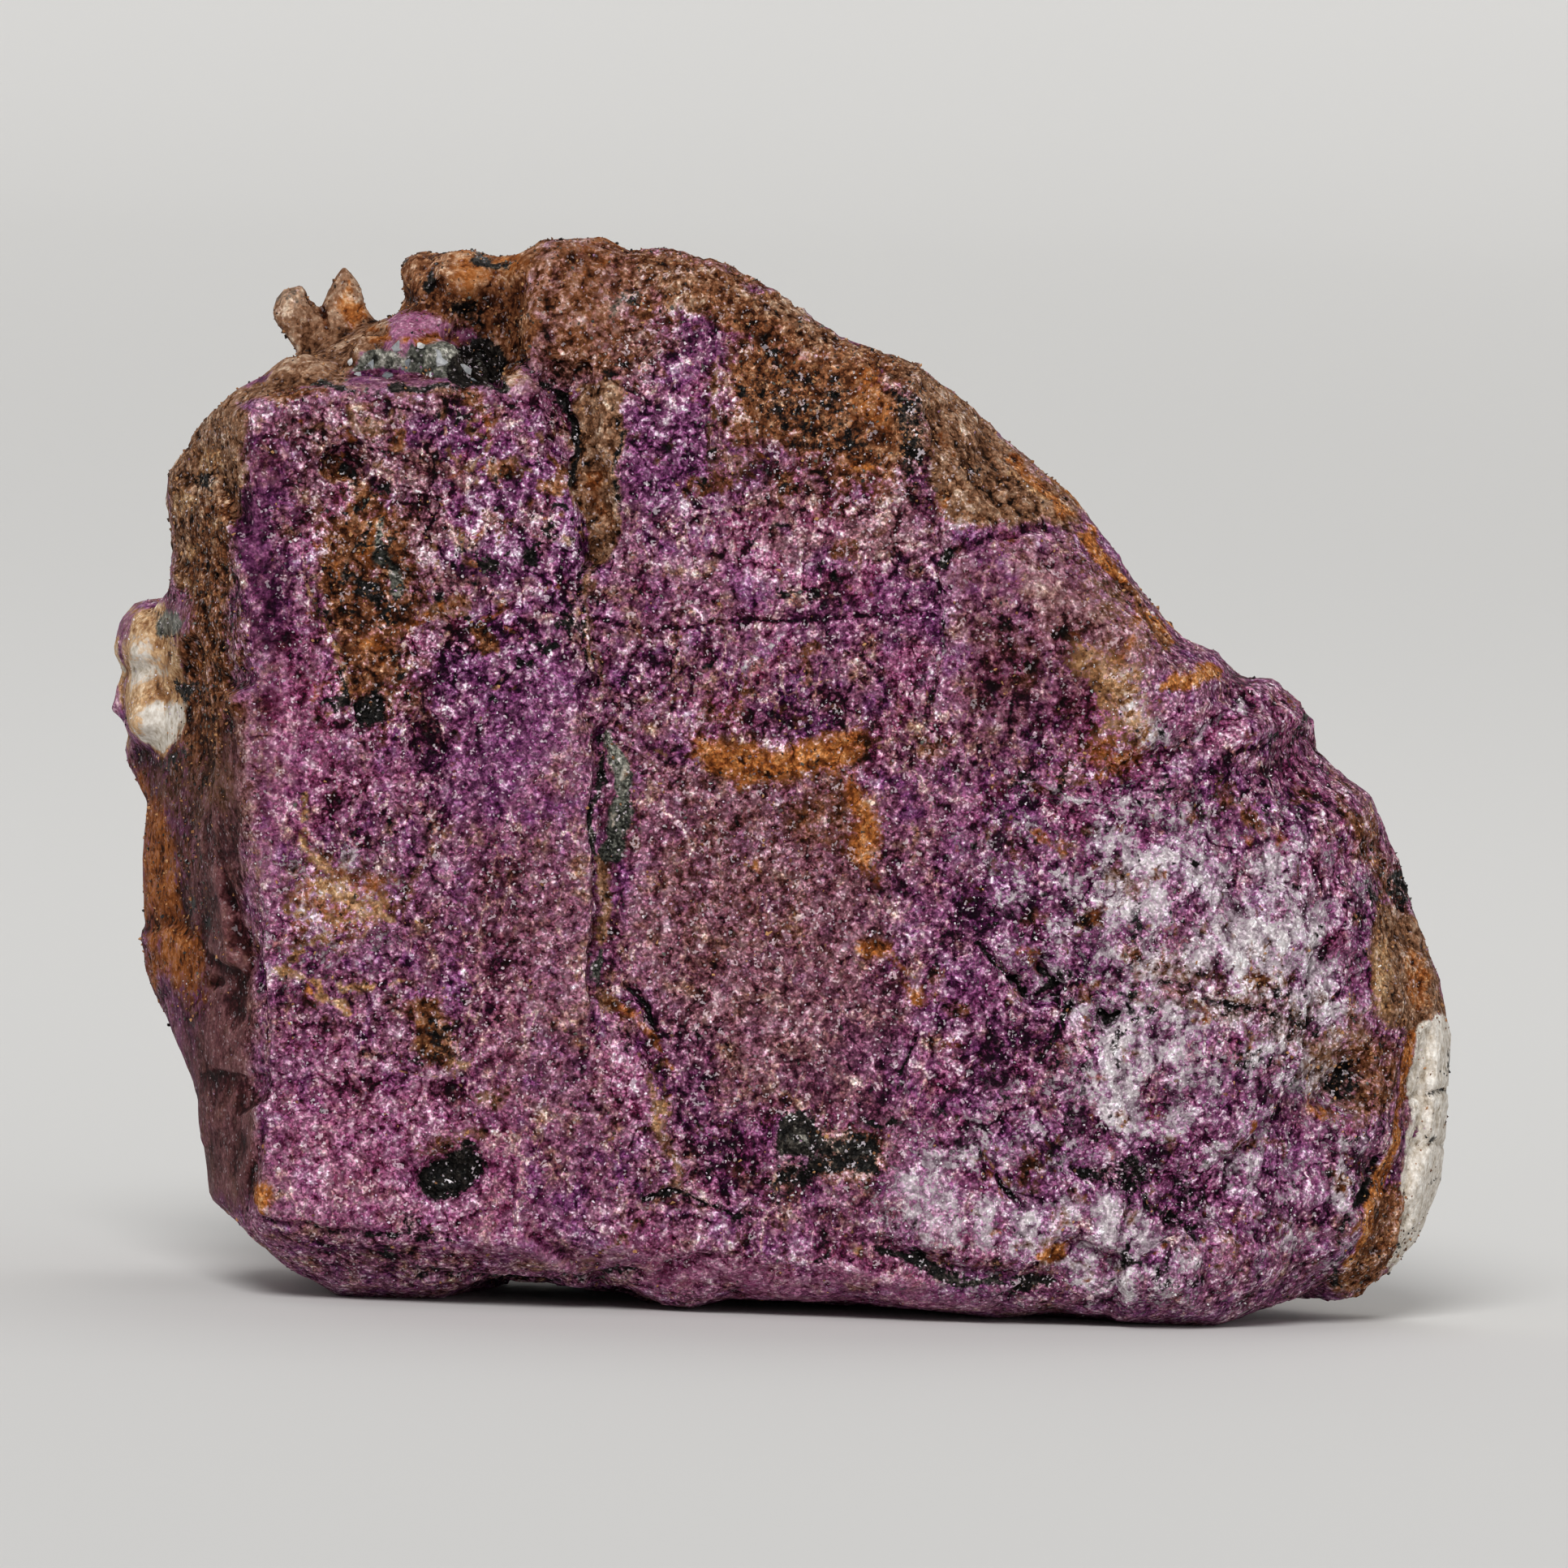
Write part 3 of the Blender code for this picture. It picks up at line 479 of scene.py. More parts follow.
    def crust(self) -> list[Mark]:
        """The tan and rusty crust along the upper right edge."""
        return [
            patch(TAN, 14, 0.85, "880,318 970,365 1042,415 1145,450 1255,545 1335,620 1330,650 "
                  "1240,650 1180,660 1150,590 1130,480 1000,430 880,380"),
            patch(RUST, 20, 0.7, "820,340 900,350 1000,400 1040,440 960,450 860,400"),
            patch(RUST, 45, 0.82, "890,400 1060,415 1140,480 1140,600 1020,590 900,560 870,480"),
            patch(OXIDE, 20, 0.45, "930,440 1060,460 1080,560 990,575 920,520"),
            patch(OXIDE, 12, 0.6, "1096,470 1142,480 1140,600 1106,590"),
            patch(OCHRE, 14, 0.55, "1050,450 1098,450 1096,530 1050,520"),
            spot(OCHRE, 960, 475, 16, 12, 0.5),
            spot(OCHRE, 1000, 525, 15, 12, 0.5),
            line(OCHRE, 6, 7, 0.8, "1050,572 1075,572"),
            patch(OCHRE, 9, 0.9, "1236,560 1256,556 1330,632 1312,640"),
            line(CREAM, 5, 5, 0.9, "1246,584 1270,604 1290,618"),
            line(OCHRE, 9, 8, 0.95, "1338,655 1366,694 1384,712"),
            line(RUST, 10, 8, 0.8, "1366,694 1410,744 1440,790"),
            line(OCHRE, 7, 6, 0.9, "1424,756 1446,784"),
            patch(OCHRE, 9, 0.9, "1440,815 1508,822 1500,842 1430,838"),
            patch(TAN, 18, 0.5, "1300,640 1350,660 1440,790 1400,800 1330,720"),
            patch(CREAM, 36, 0.58, "1300,820 1400,790 1450,840 1410,910 1340,900"),
            patch(BLOOM, 26, 0.55, "1350,830 1440,820 1440,915 1370,910"),
            patch(OCHRE, 28, 0.68, "1335,895 1410,900 1400,970 1325,960"),
            patch(RUST, 40, 0.45, "1280,760 1400,770 1430,960 1310,970"),
            line(OCHRE, 6, 7, 0.6, "1330,790 1380,820 1410,760"),
            line(DARK, 5, 6, 0.9, "1170,712 1178,690 1192,680 1240,662 1290,650"),
            spot(OXIDE, 1172, 698, 9, 6, 1),
            line(TAN, 4, 5, 0.8, "880,440 880,480 874,540"),
            line(BLOOM, 3, 4, 0.6, "884,440 880,500"),
            patch(TAN, 22, 0.45, "850,540 960,560 920,620 850,600"),
            patch(RUST, 18, 0.45, "990,590 1080,600 1060,650 1000,650"),
        ]

    def vein(self) -> list[Mark]:
        """The vertical vein through the middle, its crack and the scarp below it."""
        return [
            patch(TAN, 9, 0.95, "712,470 772,470 766,620 756,690 730,700 708,600"),
            patch(OCHRE, 10, 0.5, "730,580 760,570 752,660 736,660"),
            line(OXIDE, 5, 4, 1, "690,478 706,510 714,545 712,590"),
            line(OXIDE, 4, 4, 0.7, "760,500 764,560 762,640"),
            line(TAN, 8, 8, 0.6, "728,690 722,760 734,850"),
            line(OXIDE, 3, 3, 0.8, "720,700 716,740 720,800 726,850"),
            # Black line in the crack at the foot of the raised left block: partly dark fill, partly
            # painted shadow of the step.
            line(OXIDE, 4, 4, 1, "740,900 736,960 733,1010 737,1060"),
            line(SLATE, 10, 6, 0.95, "752,905 758,950 761,1000 755,1055"),
            line(TAN, 12, 12, 0.4, "762,920 768,980 764,1050"),
            # Pale streak down the vein's fill: partly its own pale tone, partly painted glisten.
            line(CHALK, 3, 8, 0.62, "755,915 760,950 757,975 759,1020"),
            line(TAN, 8, 7, 0.85, "746,1060 746,1110 742,1170"),
            line(SLATE, 5, 5, 0.9, "742,1175 741,1220"),
            line(CREAM, 3, 3, 0.6, "737,1090 736,1150 731,1210"),
            patch(TAN, 9, 0.7, "742,1220 772,1238 760,1260 735,1245"),
            line(OCHRE, 6, 6, 0.8, "772,1245 800,1275 822,1310"),
            patch(RUST, 14, 0.4, "740,860 800,900 790,960 765,900"),
            line(TAN, 7, 8, 0.7, "800,1330 812,1380 838,1440 846,1466"),
            patch(CREAM, 10, 0.5, "798,1345 835,1350 838,1395 808,1395"),
            line(OXIDE, 4, 5, 0.8, "776,1210 790,1228 806,1262"),
            line(OXIDE, 4, 5, 0.85, "795,1480 830,1470 868,1482 905,1494 930,1490"),
            line(OCHRE, 5, 7, 0.4, "760,1430 800,1436"),
            line(DARK, 4, 6, 0.85, "728,766 850,771 1000,762 1150,756"),
            line(OXIDE, 3, 4, 0.6, "1162,690 1160,780 1152,850 1146,890"),
            line(BLOOM, 3, 4, 0.6, "1164,730 1158,800 1140,850"),
            line(OXIDE, 2.5, 3, 0.9, "1132,1268 1122,1300 1112,1338"),
            line(BLOOM, 1, 4, 0.6, "820,636 845,615 862,594"),
            line(BLOOM, 3, 4, 0.6, "955,790 925,812 905,820"),
        ]

    def stains(self) -> list[Mark]:
        """The orange and cream stains on the front face."""
        return [
            patch(OCHRE, 18, 0.8, "838,890 870,896 900,922 946,916 976,904 1012,900 1056,890 "
                  "1060,930 1030,952 984,956 930,976 884,954 852,928"),
            patch(RUST, 20, 0.6, "836,880 900,910 1060,880 1070,960 900,984 850,940"),
            patch(OCHRE, 20, 0.72, "1034,940 1068,956 1092,1000 1070,1074 1032,1064 1044,1000"),
            patch(RUST, 34, 0.55, "950,980 1050,940 1090,1000 1060,1080 960,1050"),
            patch(OCHRE, 9, 0.75, "1045,1164 1100,1164 1128,1196 1060,1188"),
            patch(OCHRE, 8, 0.75, "1112,1206 1136,1206 1136,1232 1114,1230"),
            spot(OCHRE, 926, 1066, 9, 8, 0.7),
            patch(RUST, 10, 0.5, "940,1130 985,1125 980,1160 945,1160"),
            line(CREAM, 9, 16, 0.8, "392,1096 424,1108 452,1122 476,1142"),
            line(CREAM, 7, 14, 0.75, "350,1124 390,1136 436,1128 470,1108"),
            line(CREAM, 6, 14, 0.7, "420,1090 446,1120 440,1156"),
            line(OXIDE, 3, 6, 0.6, "400,1116 432,1142 462,1152"),
            patch(OCHRE, 36, 0.5, "350,1080 470,1070 500,1120 440,1170 350,1160"),
            patch(TAN, 40, 0.45, "330,1060 480,1050 530,1120 450,1190 340,1180"),
            patch(BLOOM, 40, 0.35, "340,1060 480,1050 520,1130 450,1190 330,1200"),
            line(CREAM, 6, 8, 0.75, "372,985 380,1010 378,1050 398,1076"),
            line(CREAM, 6, 8, 0.75, "340,1196 372,1170 402,1152"),
            line(CREAM, 4, 5, 0.85, "336,1192 376,1202 424,1218 470,1222 494,1218"),
            line(CREAM, 5, 6, 0.85, "392,1226 426,1236 440,1250"),
            spot(OCHRE, 386, 1218, 8, 6, 1),
            spot(OXIDE, 374, 1208, 6, 5, 0.8),
            spot(OXIDE, 418, 1230, 6, 5, 0.7),
            line(TAN, 5, 8, 0.6, "540,1020 524,1060 502,1096 490,1140"),
            # White spot on a glint: painted highlight, which also draws white frost grains there.
            spot(BLOOM, 532, 1034, 5, 5, 0.9),
            line(OCHRE, 4, 5, 0.5, "566,946 560,958 574,922"),
            patch(RUST, 12, 0.75, "505,1236 552,1232 566,1290 560,1320 520,1310"),
            patch(OXIDE, 10, 0.55, "530,1250 560,1262 566,1310 536,1306"),
            spot(OCHRE, 522, 1262, 8, 8, 0.8),
            patch(CREAM, 8, 0.6, "550,1298 588,1296 580,1318 556,1318"),
            line(CREAM, 2.5, 3, 0.7, "490,1320 530,1324 572,1332"),
            patch(TAN, 14, 0.6, "578,1336 640,1340 636,1372 590,1372"),
            patch(OXIDE, 11, 0.85, "512,1440 540,1418 584,1410 600,1440 580,1476 530,1478"),
            patch(TAN, 14, 0.5, "470,1398 600,1386 610,1414 520,1424"),
            patch(OCHRE, 8, 0.85, "304,1452 324,1456 326,1492 308,1486"),
            line(OXIDE, 5, 6, 0.7, "322,1502 400,1512 470,1522 560,1520"),
            line(OXIDE, 5, 6, 0.75, "520,1568 600,1574 700,1578 790,1572"),
            spot(OXIDE, 476, 1548, 9, 8, 0.7),
            spot(OXIDE, 518, 1506, 12, 9, 0.6),
            line(TAN, 5, 8, 0.6, "700,1550 740,1552 760,1530 790,1500"),
            patch(OXIDE, 8, 1, "950,1376 990,1364 1010,1392 1000,1420 960,1424"),
            patch(OXIDE, 16, 0.72, "1000,1380 1060,1384 1088,1420 1080,1456 1010,1440 960,1490 "
                  "950,1460 990,1420"),
            patch(RUST, 18, 0.7, "1000,1376 1080,1384 1096,1440 1060,1466 1000,1440"),
            patch(TAN, 10, 0.5, "1020,1376 1070,1392 1090,1440 1050,1440"),
            spot(OCHRE, 1030, 1422, 6, 5, 0.8),
            spot(OCHRE, 955, 1447, 6, 5, 0.8),
            line(MAGENTA, 6, 7, 0.8, "1020,1362 1054,1390 1080,1412"),
            line(OXIDE, 4, 5, 0.9, "1068,1378 1100,1384"),
            # Black band under the lower right ledge's lip: painted shadow of the lip, which also draws
            # black oxide grains there.
            patch(OXIDE, 7, 0.8, "1070,1540 1140,1548 1200,1566 1320,1576 1300,1588 1180,1582 "
                  "1080,1556"),
            patch(OCHRE, 9, 0.85, "1264,1548 1290,1528 1322,1522 1318,1548 1280,1562"),
            spot(CREAM, 1062, 1544, 9, 7, 0.8),
            line(CREAM, 4, 5, 0.5, "1040,1552 1080,1536"),
        ]

    def left_rust(self) -> list[Mark]:
        """The rusty hollow on the left of the front face."""
        return [
            patch(RUST, 42, 0.72, "372,640 440,610 520,630 540,740 520,850 480,920 430,880 390,780"),
            patch(OXIDE, 14, 0.3, "400,550 440,556 450,590 410,600"),
            patch(OXIDE, 10, 0.9, "430,856 476,846 478,892 440,900"),
            spot(SLATE, 463, 868, 12, 8, 0.7),
            line(SLATE, 8, 7, 0.8, "468,650 474,690"),
            line(SLATE, 8, 6, 0.95, "486,706 492,732"),
            patch(OCHRE, 16, 0.55, "436,640 480,636 470,700 440,700"),
            spot(OCHRE, 432, 550, 10, 8, 0.7),
            line(OCHRE, 5, 7, 0.7, "500,770 520,764 536,752"),
            patch(OCHRE, 7, 0.6, "446,782 480,776 480,800 450,802"),
            patch(OCHRE, 7, 0.6, "462,812 486,812 480,838 466,836"),
            spot(CREAM, 506, 831, 8, 6, 0.9),
            line(CREAM, 3.5, 5, 0.75, "374,714 384,752 404,782 424,812 430,846"),
            line(DARK, 6, 8, 0.9, "540,840 548,800 580,762 630,738"),
            line(OCHRE, 5, 6, 0.7, "590,752 620,744"),
            line(TAN, 4, 6, 0.7, "376,530 420,536 470,520"),
            line(OCHRE, 4, 7, 0.5, "536,596 570,584 610,560"),
            patch(TAN, 10, 0.6, "586,626 616,622 616,656 590,658"),
            patch(TAN, 20, 0.4, "470,470 620,480 560,520 480,510"),
            patch(RUST, 10, 0.7, "560,480 600,480 600,510 560,510"),
            line(OXIDE, 4, 5, 0.8, "640,440 672,470 690,486"),
            # Thin white streak down the left corner's edge: painted highlight where the edge catches
            # the light.
            line(BLOOM, 1, 5, 0.8, "325,778 322,800 314,830 311,850"),
        ]

    def right_lobe(self) -> list[Mark]:
        """The frosted lobe that turns away on the right, and its white rim."""
        return [
            patch(BLOOM, 60, 0.27, "1180,1010 1350,960 1600,960 1690,1100 1690,1560 1500,1610 "
                  "1080,1580 1060,1420 1260,1260"),
            patch(BLOOM, 60, 0.52, "1330,1020 1620,1040 1680,1240 1640,1330 1360,1340 1280,1150"),
            patch(BLOOM, 40, 0.8, "1480,1120 1560,1100 1636,1140 1626,1240 1530,1250"),
            patch(BLOOM, 26, 0.85, "1344,1256 1400,1240 1432,1290 1396,1360 1350,1336"),
            line(BLOOM, 9, 14, 0.9, "1350,1100 1366,1060 1382,1030"),
            line(BLOOM, 7, 16, 0.8, "1410,1080 1424,1120 1418,1170"),
            line(BLOOM, 7, 16, 0.8, "1466,1060 1480,1100 1470,1150"),
            line(BLOOM, 8, 16, 0.75, "1520,1040 1540,1080 1584,1110"),
            line(BLOOM, 6, 12, 0.8, "1600,1150 1632,1196 1640,1240"),
            line(BLOOM, 7, 16, 0.7, "1250,1350 1290,1390 1330,1400"),
            line(BLOOM, 7, 16, 0.6, "1500,1400 1540,1440 1590,1450"),
            line(BLOOM, 7, 16, 0.6, "1440,1530 1500,1560 1540,1610"),
            line(BLOOM, 7, 16, 0.75, "1240,1500 1290,1530 1330,1580"),
            line(OXIDE, 5, 9, 0.65, "1396,1110 1404,1150 1392,1190"),
            line(OXIDE, 5, 9, 0.6, "1444,1090 1452,1140"),
            line(OXIDE, 5, 10, 0.7, "1500,1290 1560,1300 1610,1340"),
            line(OXIDE, 6, 10, 0.65, "1330,1290 1340,1340 1320,1380"),
            line(OXIDE, 5, 10, 0.65, "1480,1400 1490,1450 1470,1500"),
            line(BLOOM, 6, 8, 0.7, "1262,1108 1290,1098 1330,1094"),
            patch(BLOOM, 36, 0.58, "1340,1340 1490,1340 1480,1410 1350,1400"),
            patch(BLOOM, 28, 0.66, "1560,1260 1660,1260 1650,1340 1570,1340"),
            patch(BLOOM, 14, 0.75, "1640,1390 1684,1390 1670,1500 1640,1500"),
            patch(BLOOM, 50, 0.46, "1060,1430 1400,1440 1480,1560 1300,1570 1090,1530"),
            patch(BLOOM, 20, 0.4, "1160,1400 1240,1380 1250,1440 1180,1440"),
            patch(BLOOM, 20, 0.5, "1330,1560 1420,1540 1440,1600 1340,1600"),
            line(BLOOM, 3, 4, 0.9, "1250,972 1310,984 1352,996"),
            line(BLOOM, 5, 8, 0.5, "1448,935 1480,900 1545,862"),
            spot(BLOOM, 1286, 1230, 7, 6, 0.7),
            patch(TAN, 30, 0.5, "1390,1180 1530,1186 1640,1226 1640,1290 1500,1276 1400,1250"),
            patch(OXIDE, 18, 0.45, "1480,1226 1600,1230 1650,1250 1640,1280 1560,1268 1490,1262"),
            patch(TAN, 26, 0.6, "1600,1260 1700,1240 1720,1330 1690,1400 1620,1380"),
            patch(RUST, 20, 0.6, "1660,1280 1730,1260 1726,1380 1680,1380"),
            patch(TAN, 16, 0.4, "1430,1000 1560,990 1500,1030"),
            line(OXIDE, 5, 4, 1, "1250,1196 1262,1214 1284,1222 1306,1216"),
            line(OXIDE, 4, 4, 1, "1284,1188 1289,1204 1298,1218 1300,1242"),
            line(OXIDE, 3, 4, 0.8, "1306,1216 1322,1208 1330,1222"),
            line(OXIDE, 4, 4, 0.9, "1212,1164 1240,1192 1256,1206"),
            line(OXIDE, 6, 5, 1, "1354,1252 1366,1262 1376,1252"),
            line(OXIDE, 5, 7, 0.6, "1318,1236 1300,1270 1280,1300"),
            line(OXIDE, 5, 7, 0.6, "1420,1216 1460,1220 1500,1236 1560,1240"),
            patch(OXIDE, 14, 0.6, "1620,1320 1660,1300 1690,1330 1670,1366 1630,1364"),
            patch(OXIDE, 9, 0.6, "1300,1424 1350,1436 1400,1414 1412,1440 1390,1480 1340,1470"),
            line(OXIDE, 3, 5, 0.85, "1390,1450 1388,1500"),
            line(OXIDE, 4, 4, 0.8, "1404,1440 1410,1488"),
            line(OXIDE, 5, 6, 0.8, "1436,1496 1462,1510 1478,1530"),
            line(OXIDE, 4, 5, 0.7, "1198,1406 1214,1452"),
            line(OXIDE, 4, 5, 0.85, "1232,1446 1262,1482"),
            line(DARK, 4, 6, 0.8, "1562,850 1530,862 1470,905 1446,926"),
            spot(OXIDE, 1604, 884, 9, 7, 0.7),
            patch(RUST, 18, 0.65, "1640,960 1700,1000 1740,1130 1690,1110 1650,1040"),
            patch(RUST, 14, 0.5, "1240,1020 1280,1030 1270,1080 1240,1070"),
            patch(OXIDE, 8, 0.6, "1700,1060 1730,1080 1740,1120 1710,1110"),
            patch(TAN, 12, 0.85, "1690,1110 1750,1120 1790,1250 1740,1270 1700,1260"),
            patch(CREAM, 8, 0.7, "1698,1160 1722,1150 1712,1250 1690,1250"),
            patch(OCHRE, 8, 0.6, "1740,1160 1764,1180 1766,1240 1742,1240"),
            line(OCHRE, 8, 6, 0.9, "1738,1270 1736,1340 1722,1410 1700,1470 1660,1560"),
            patch(RUST, 10, 0.75, "1700,1470 1730,1450 1740,1540 1690,1600 1640,1600 1660,1560"),
            patch(TAN, 10, 0.7, "1680,1520 1720,1480 1730,1550 1690,1600 1660,1600"),
            patch(CHALK, 6, 1, "1746,1262 1800,1240 1800,1400 1790,1470 1750,1540 1712,1568 "
                  "1728,1470 1744,1390"),
            line(OXIDE, 3, 4, 0.75, "1762,1346 1778,1340 1790,1342"),
            line(OXIDE, 2.5, 4, 0.7, "1784,1290 1780,1326"),
            spot(OXIDE, 1756, 1410, 5, 5, 0.8),
            spot(OXIDE, 1772, 1462, 4, 5, 0.7),
            spot(TAN, 1776, 1386, 9, 9, 0.7),
            line(TAN, 4, 6, 0.7, "1764,1280 1758,1350 1746,1430 1728,1510"),
            line(OCHRE, 3, 5, 0.5, "1780,1400 1770,1450 1752,1510"),
            line(OXIDE, 5, 5, 0.95, "1698,1436 1690,1468 1676,1490"),
            line(OXIDE, 4, 5, 0.8, "1662,1500 1650,1530"),
            line(OXIDE, 5, 5, 0.8, "1640,1560 1652,1590"),
        ]

    def every(self) -> list[Mark]:
        """All marks of the stone."""
        return (
            self.tones() + self.left_flank() + self.top_ledge() + self.crust() + self.vein()
            + self.stains() + self.left_rust() + self.right_lobe()
        )


@dataclass(frozen=True)
class Cut:
    """A crack, pit, ledge or ridge that is pressed into the skin, read in the picture.

    Depth is in pixels and is below zero for a ridge. A ledge lowers only the right side of its
    path, seen along it, and rises back over run pixels.
    """

    path: Points
    reach: float
    depth: float
    run: float = 0.0

    def press(self, where: np.ndarray) -> tuple[np.ndarray, np.ndarray]:
        """The numbers of the vertices that the cut reaches, and how far it lowers each."""
        margin = max(self.reach * 2, self.run)
        corners = np.array(self.path, float)
        near = np.all((where > corners.min(0) - margin) & (where < corners.max(0) + margin), axis=1)
        found = np.flatnonzero(near)
        gap = line_gap(where[found], self.path)
        if self.run == 0:
            return found, self.depth * smooth_rise(-gap, -self.reach * 1.6, -self.reach * 0.3)
        side = self.side_of(where[found])
        share = smooth_rise(side * gap, -self.reach, self.reach)
        return found, self.depth * share * (1.0 - smooth_rise(gap, 0.3 * self.run, self.run))

    def side_of(self, where: np.ndarray) -> np.ndarray:
        """1 on the right of the path and -1 on its left, for each (u, v)."""
        corners = np.array(self.path, float)
        best = np.full(len(where), np.inf)
        side = np.ones(len(where))
        for start, end in zip(corners[:-1], corners[1:]):
            run = end - start
            share = np.clip((where - start) @ run / (run @ run), 0.0, 1.0)
            away = where - start - share[:, None] * run
            gap = np.linalg.norm(away, axis=1)
            turned = run[0] * away[:, 1] - run[1] * away[:, 0]
            side = np.where(gap < best, np.sign(turned), side)
            best = np.minimum(gap, best)
        return side


def cut(reach: float, depth: float, *run_and_path: float | str) -> Cut:
    """A cut: its reach, its depth, its run if it is a ledge, and its points."""
    *run, path = run_and_path
    return Cut(points(path), reach, depth, *run)


class StoneCuts:
    """The cracks, ledges, pits and ridges of the front face."""

    def cracks(self) -> list[Cut]:
        """Narrow cracks and slits."""
        return [
            cut(6, 11, "690,478 706,510 714,545 711,600"),
            cut(4, 7, "720,700 716,740 720,800 727,850"),
            cut(6, 14, "741,896 736,960 733,1010 738,1062"),
            cut(4, 7, "742,1080 741,1150 738,1222"),
            cut(6, 9, "776,1210 790,1228 806,1262"),
            cut(5, 8, "795,1480 830,1470 868,1482 905,1494 930,1490"),
            cut(3.5, 3.5, "728,766 850,771 1000,762 1150,756"),
            cut(4, 6, "1162,690 1160,780 1152,850 1146,890"),
            cut(5, 4, "1170,712 1178,690 1192,680 1240,662 1290,650"),
            cut(3, 5, "1132,1268 1122,1300 1112,1338"),
            cut(5, 9, "1212,1164 1240,1192 1256,1206"),
            cut(6, 7, "1318,1236 1300,1270 1280,1300"),
            cut(5, 5, "1390,1440 1388,1500 1382,1548"),
            cut(4, 7, "1404,1440 1410,1488"),
            cut(5, 8, "1436,1496 1462,1510 1478,1530"),
            cut(4, 7, "1198,1406 1214,1452"),
            cut(5, 9, "1232,1446 1262,1482"),
            cut(14, -6, "1562,850 1530,862 1470,905 1446,926"),
            cut(5, 6, "1420,1216 1460,1220 1500,1236 1560,1240"),
            cut(6, 12, "1698,1436 1690,1468 1676,1490"),
            cut(5, 9, "1662,1500 1650,1530"),
            cut(5, 5, "540,840 548,800 580,762 630,738"),
            cut(5, 8, "640,440 672,470 690,486"),
            cut(7, 12, "588,430 604,448 612,470"),
            cut(5, 7, "520,1568 600,1574 700,1578 790,1572"),
            cut(5, 6, "322,1502 400,1512 470,1522 560,1520"),
            cut(4, 7, "378,366 398,392 404,412"),
            cut(5, 7, "1764,1270 1758,1350 1746,1430 1728,1510"),
            cut(4, 6, "1744,1350 1778,1341 1800,1342"),
            cut(4, 5, "1736,1424 1768,1412 1796,1416"),
        ]

    def pits(self) -> list[Cut]:
        """Hollows and holes."""
        return [
            cut(14, 6, "415,572 428,580"),
            cut(8, 6, "262,1210 264,1211"),
            cut(6, 12, "1250,1196 1262,1214 1284,1222 1306,1216"),
            cut(5, 9, "1284,1188 1289,1204 1298,1218 1300,1242"),
            cut(7, 8, "1354,1252 1366,1262 1376,1252"),
            cut(16, 9, "450,870 470,872"),
            cut(26, 9, "548,1440 580,1450"),
            cut(22, -9, "968,1392 980,1400"),
            cut(26, -7, "1040,1412 1060,1430"),
            cut(18, 6, "985,1455 990,1462"),
            cut(20, 10, "1196,1118 1210,1130"),
            cut(18, 10, "520,900 535,930"),
            cut(16, 10, "1340,1440 1372,1450"),
            cut(20, 8, "1650,1335 1660,1340"),
            cut(12, 10, "538,350 540,352"),
            cut(8, 9, "1100,1548 1180,1566 1300,1578"),
            cut(12, 8, "503,606 520,632"),
            cut(9, -5, "632,1040 640,1050"),
        ]

    def ledges(self) -> list[Cut]:
        """Steps whose right side, seen along the path, is the lower one."""
        return [
            cut(5, 9, 70, "722,1225 733,1050 738,900"),
            cut(7, -3, 60, "742,1228 775,1275 812,1340 840,1440"),
            cut(5, 5, 60, "300,1322 490,1320 572,1332 590,1370"),
            cut(5, -6, 60, "374,714 384,752 404,782 424,812 430,846"),
            cut(5, 6, 50, "1250,972 1310,984 1352,996"),
            cut(6, 7, 60, "1262,1108 1290,1098 1330,1094 1366,1060 1382,1030"),
            cut(8, -7, 60, "1350,1258 1372,1330 1400,1380 1470,1400"),
            cut(6, -6, 70, "1140,890 1152,850 1160,780 1162,690"),
            cut(5, 5, 45, "540,1020 524,1060 502,1096 490,1150"),
            cut(6, 5, 50, "1140,600 1140,540 1134,470"),
            cut(4, 5, 40, "880,440 880,480 874,540"),
            cut(8, 5, 50, "1540,1120 1580,1180 1560,1240"),
        ]

    def every(self) -> list[Cut]:
        """All cuts of the stone."""
        return self.cracks() + self.pits() + self.ledges()


class Value:
    """A number socket of a shader tree. Sums on it add Math nodes."""

    def __init__(self, bench: "Bench", socket: bpy.types.NodeSocket) -> None:
        """Keeps the tree's bench and the socket."""
        self.bench = bench
        self.socket = socket

    def _sum(self, operation: str, first: "Value | float", second: "Value | float",
             clamp: bool = False) -> "Value":
        """A Math node on two numbers."""
        settings = {"operation": operation, "use_clamp": clamp}
        node = self.bench.node("ShaderNodeMath", settings, {0: first, 1: second})
        return Value(self.bench, node.outputs[0])

    def __add__(self, other: "Value | float") -> "Value":
        """self + other."""
        return self._sum("ADD", self, other)

    def __radd__(self, other: float) -> "Value":
        """other + self."""
        return self._sum("ADD", other, self)

    def __sub__(self, other: "Value | float") -> "Value":
        """self - other."""
        return self._sum("SUBTRACT", self, other)

    def __rsub__(self, other: float) -> "Value":
        """other - self."""
        return self._sum("SUBTRACT", other, self)

    def __mul__(self, other: "Value | float") -> "Value":
        """self * other."""
        return self._sum("MULTIPLY", self, other)

    def __rmul__(self, other: float) -> "Value":
        """other * self."""
        return self._sum("MULTIPLY", other, self)

    def __pow__(self, other: float) -> "Value":
        """self to a power."""
        return self._sum("POWER", self, other)

    def above(self, limit: float) -> "Value":
        """1 where it is over the limit, and 0 elsewhere."""
        return self._sum("GREATER_THAN", self, limit)

    def size(self) -> "Value":
        """Its distance from 0."""
        return self._sum("ABSOLUTE", self, 0.0)

    def clamped(self) -> "Value":
        """Held between 0 and 1."""
        return self._sum("ADD", self, 0.0, clamp=True)


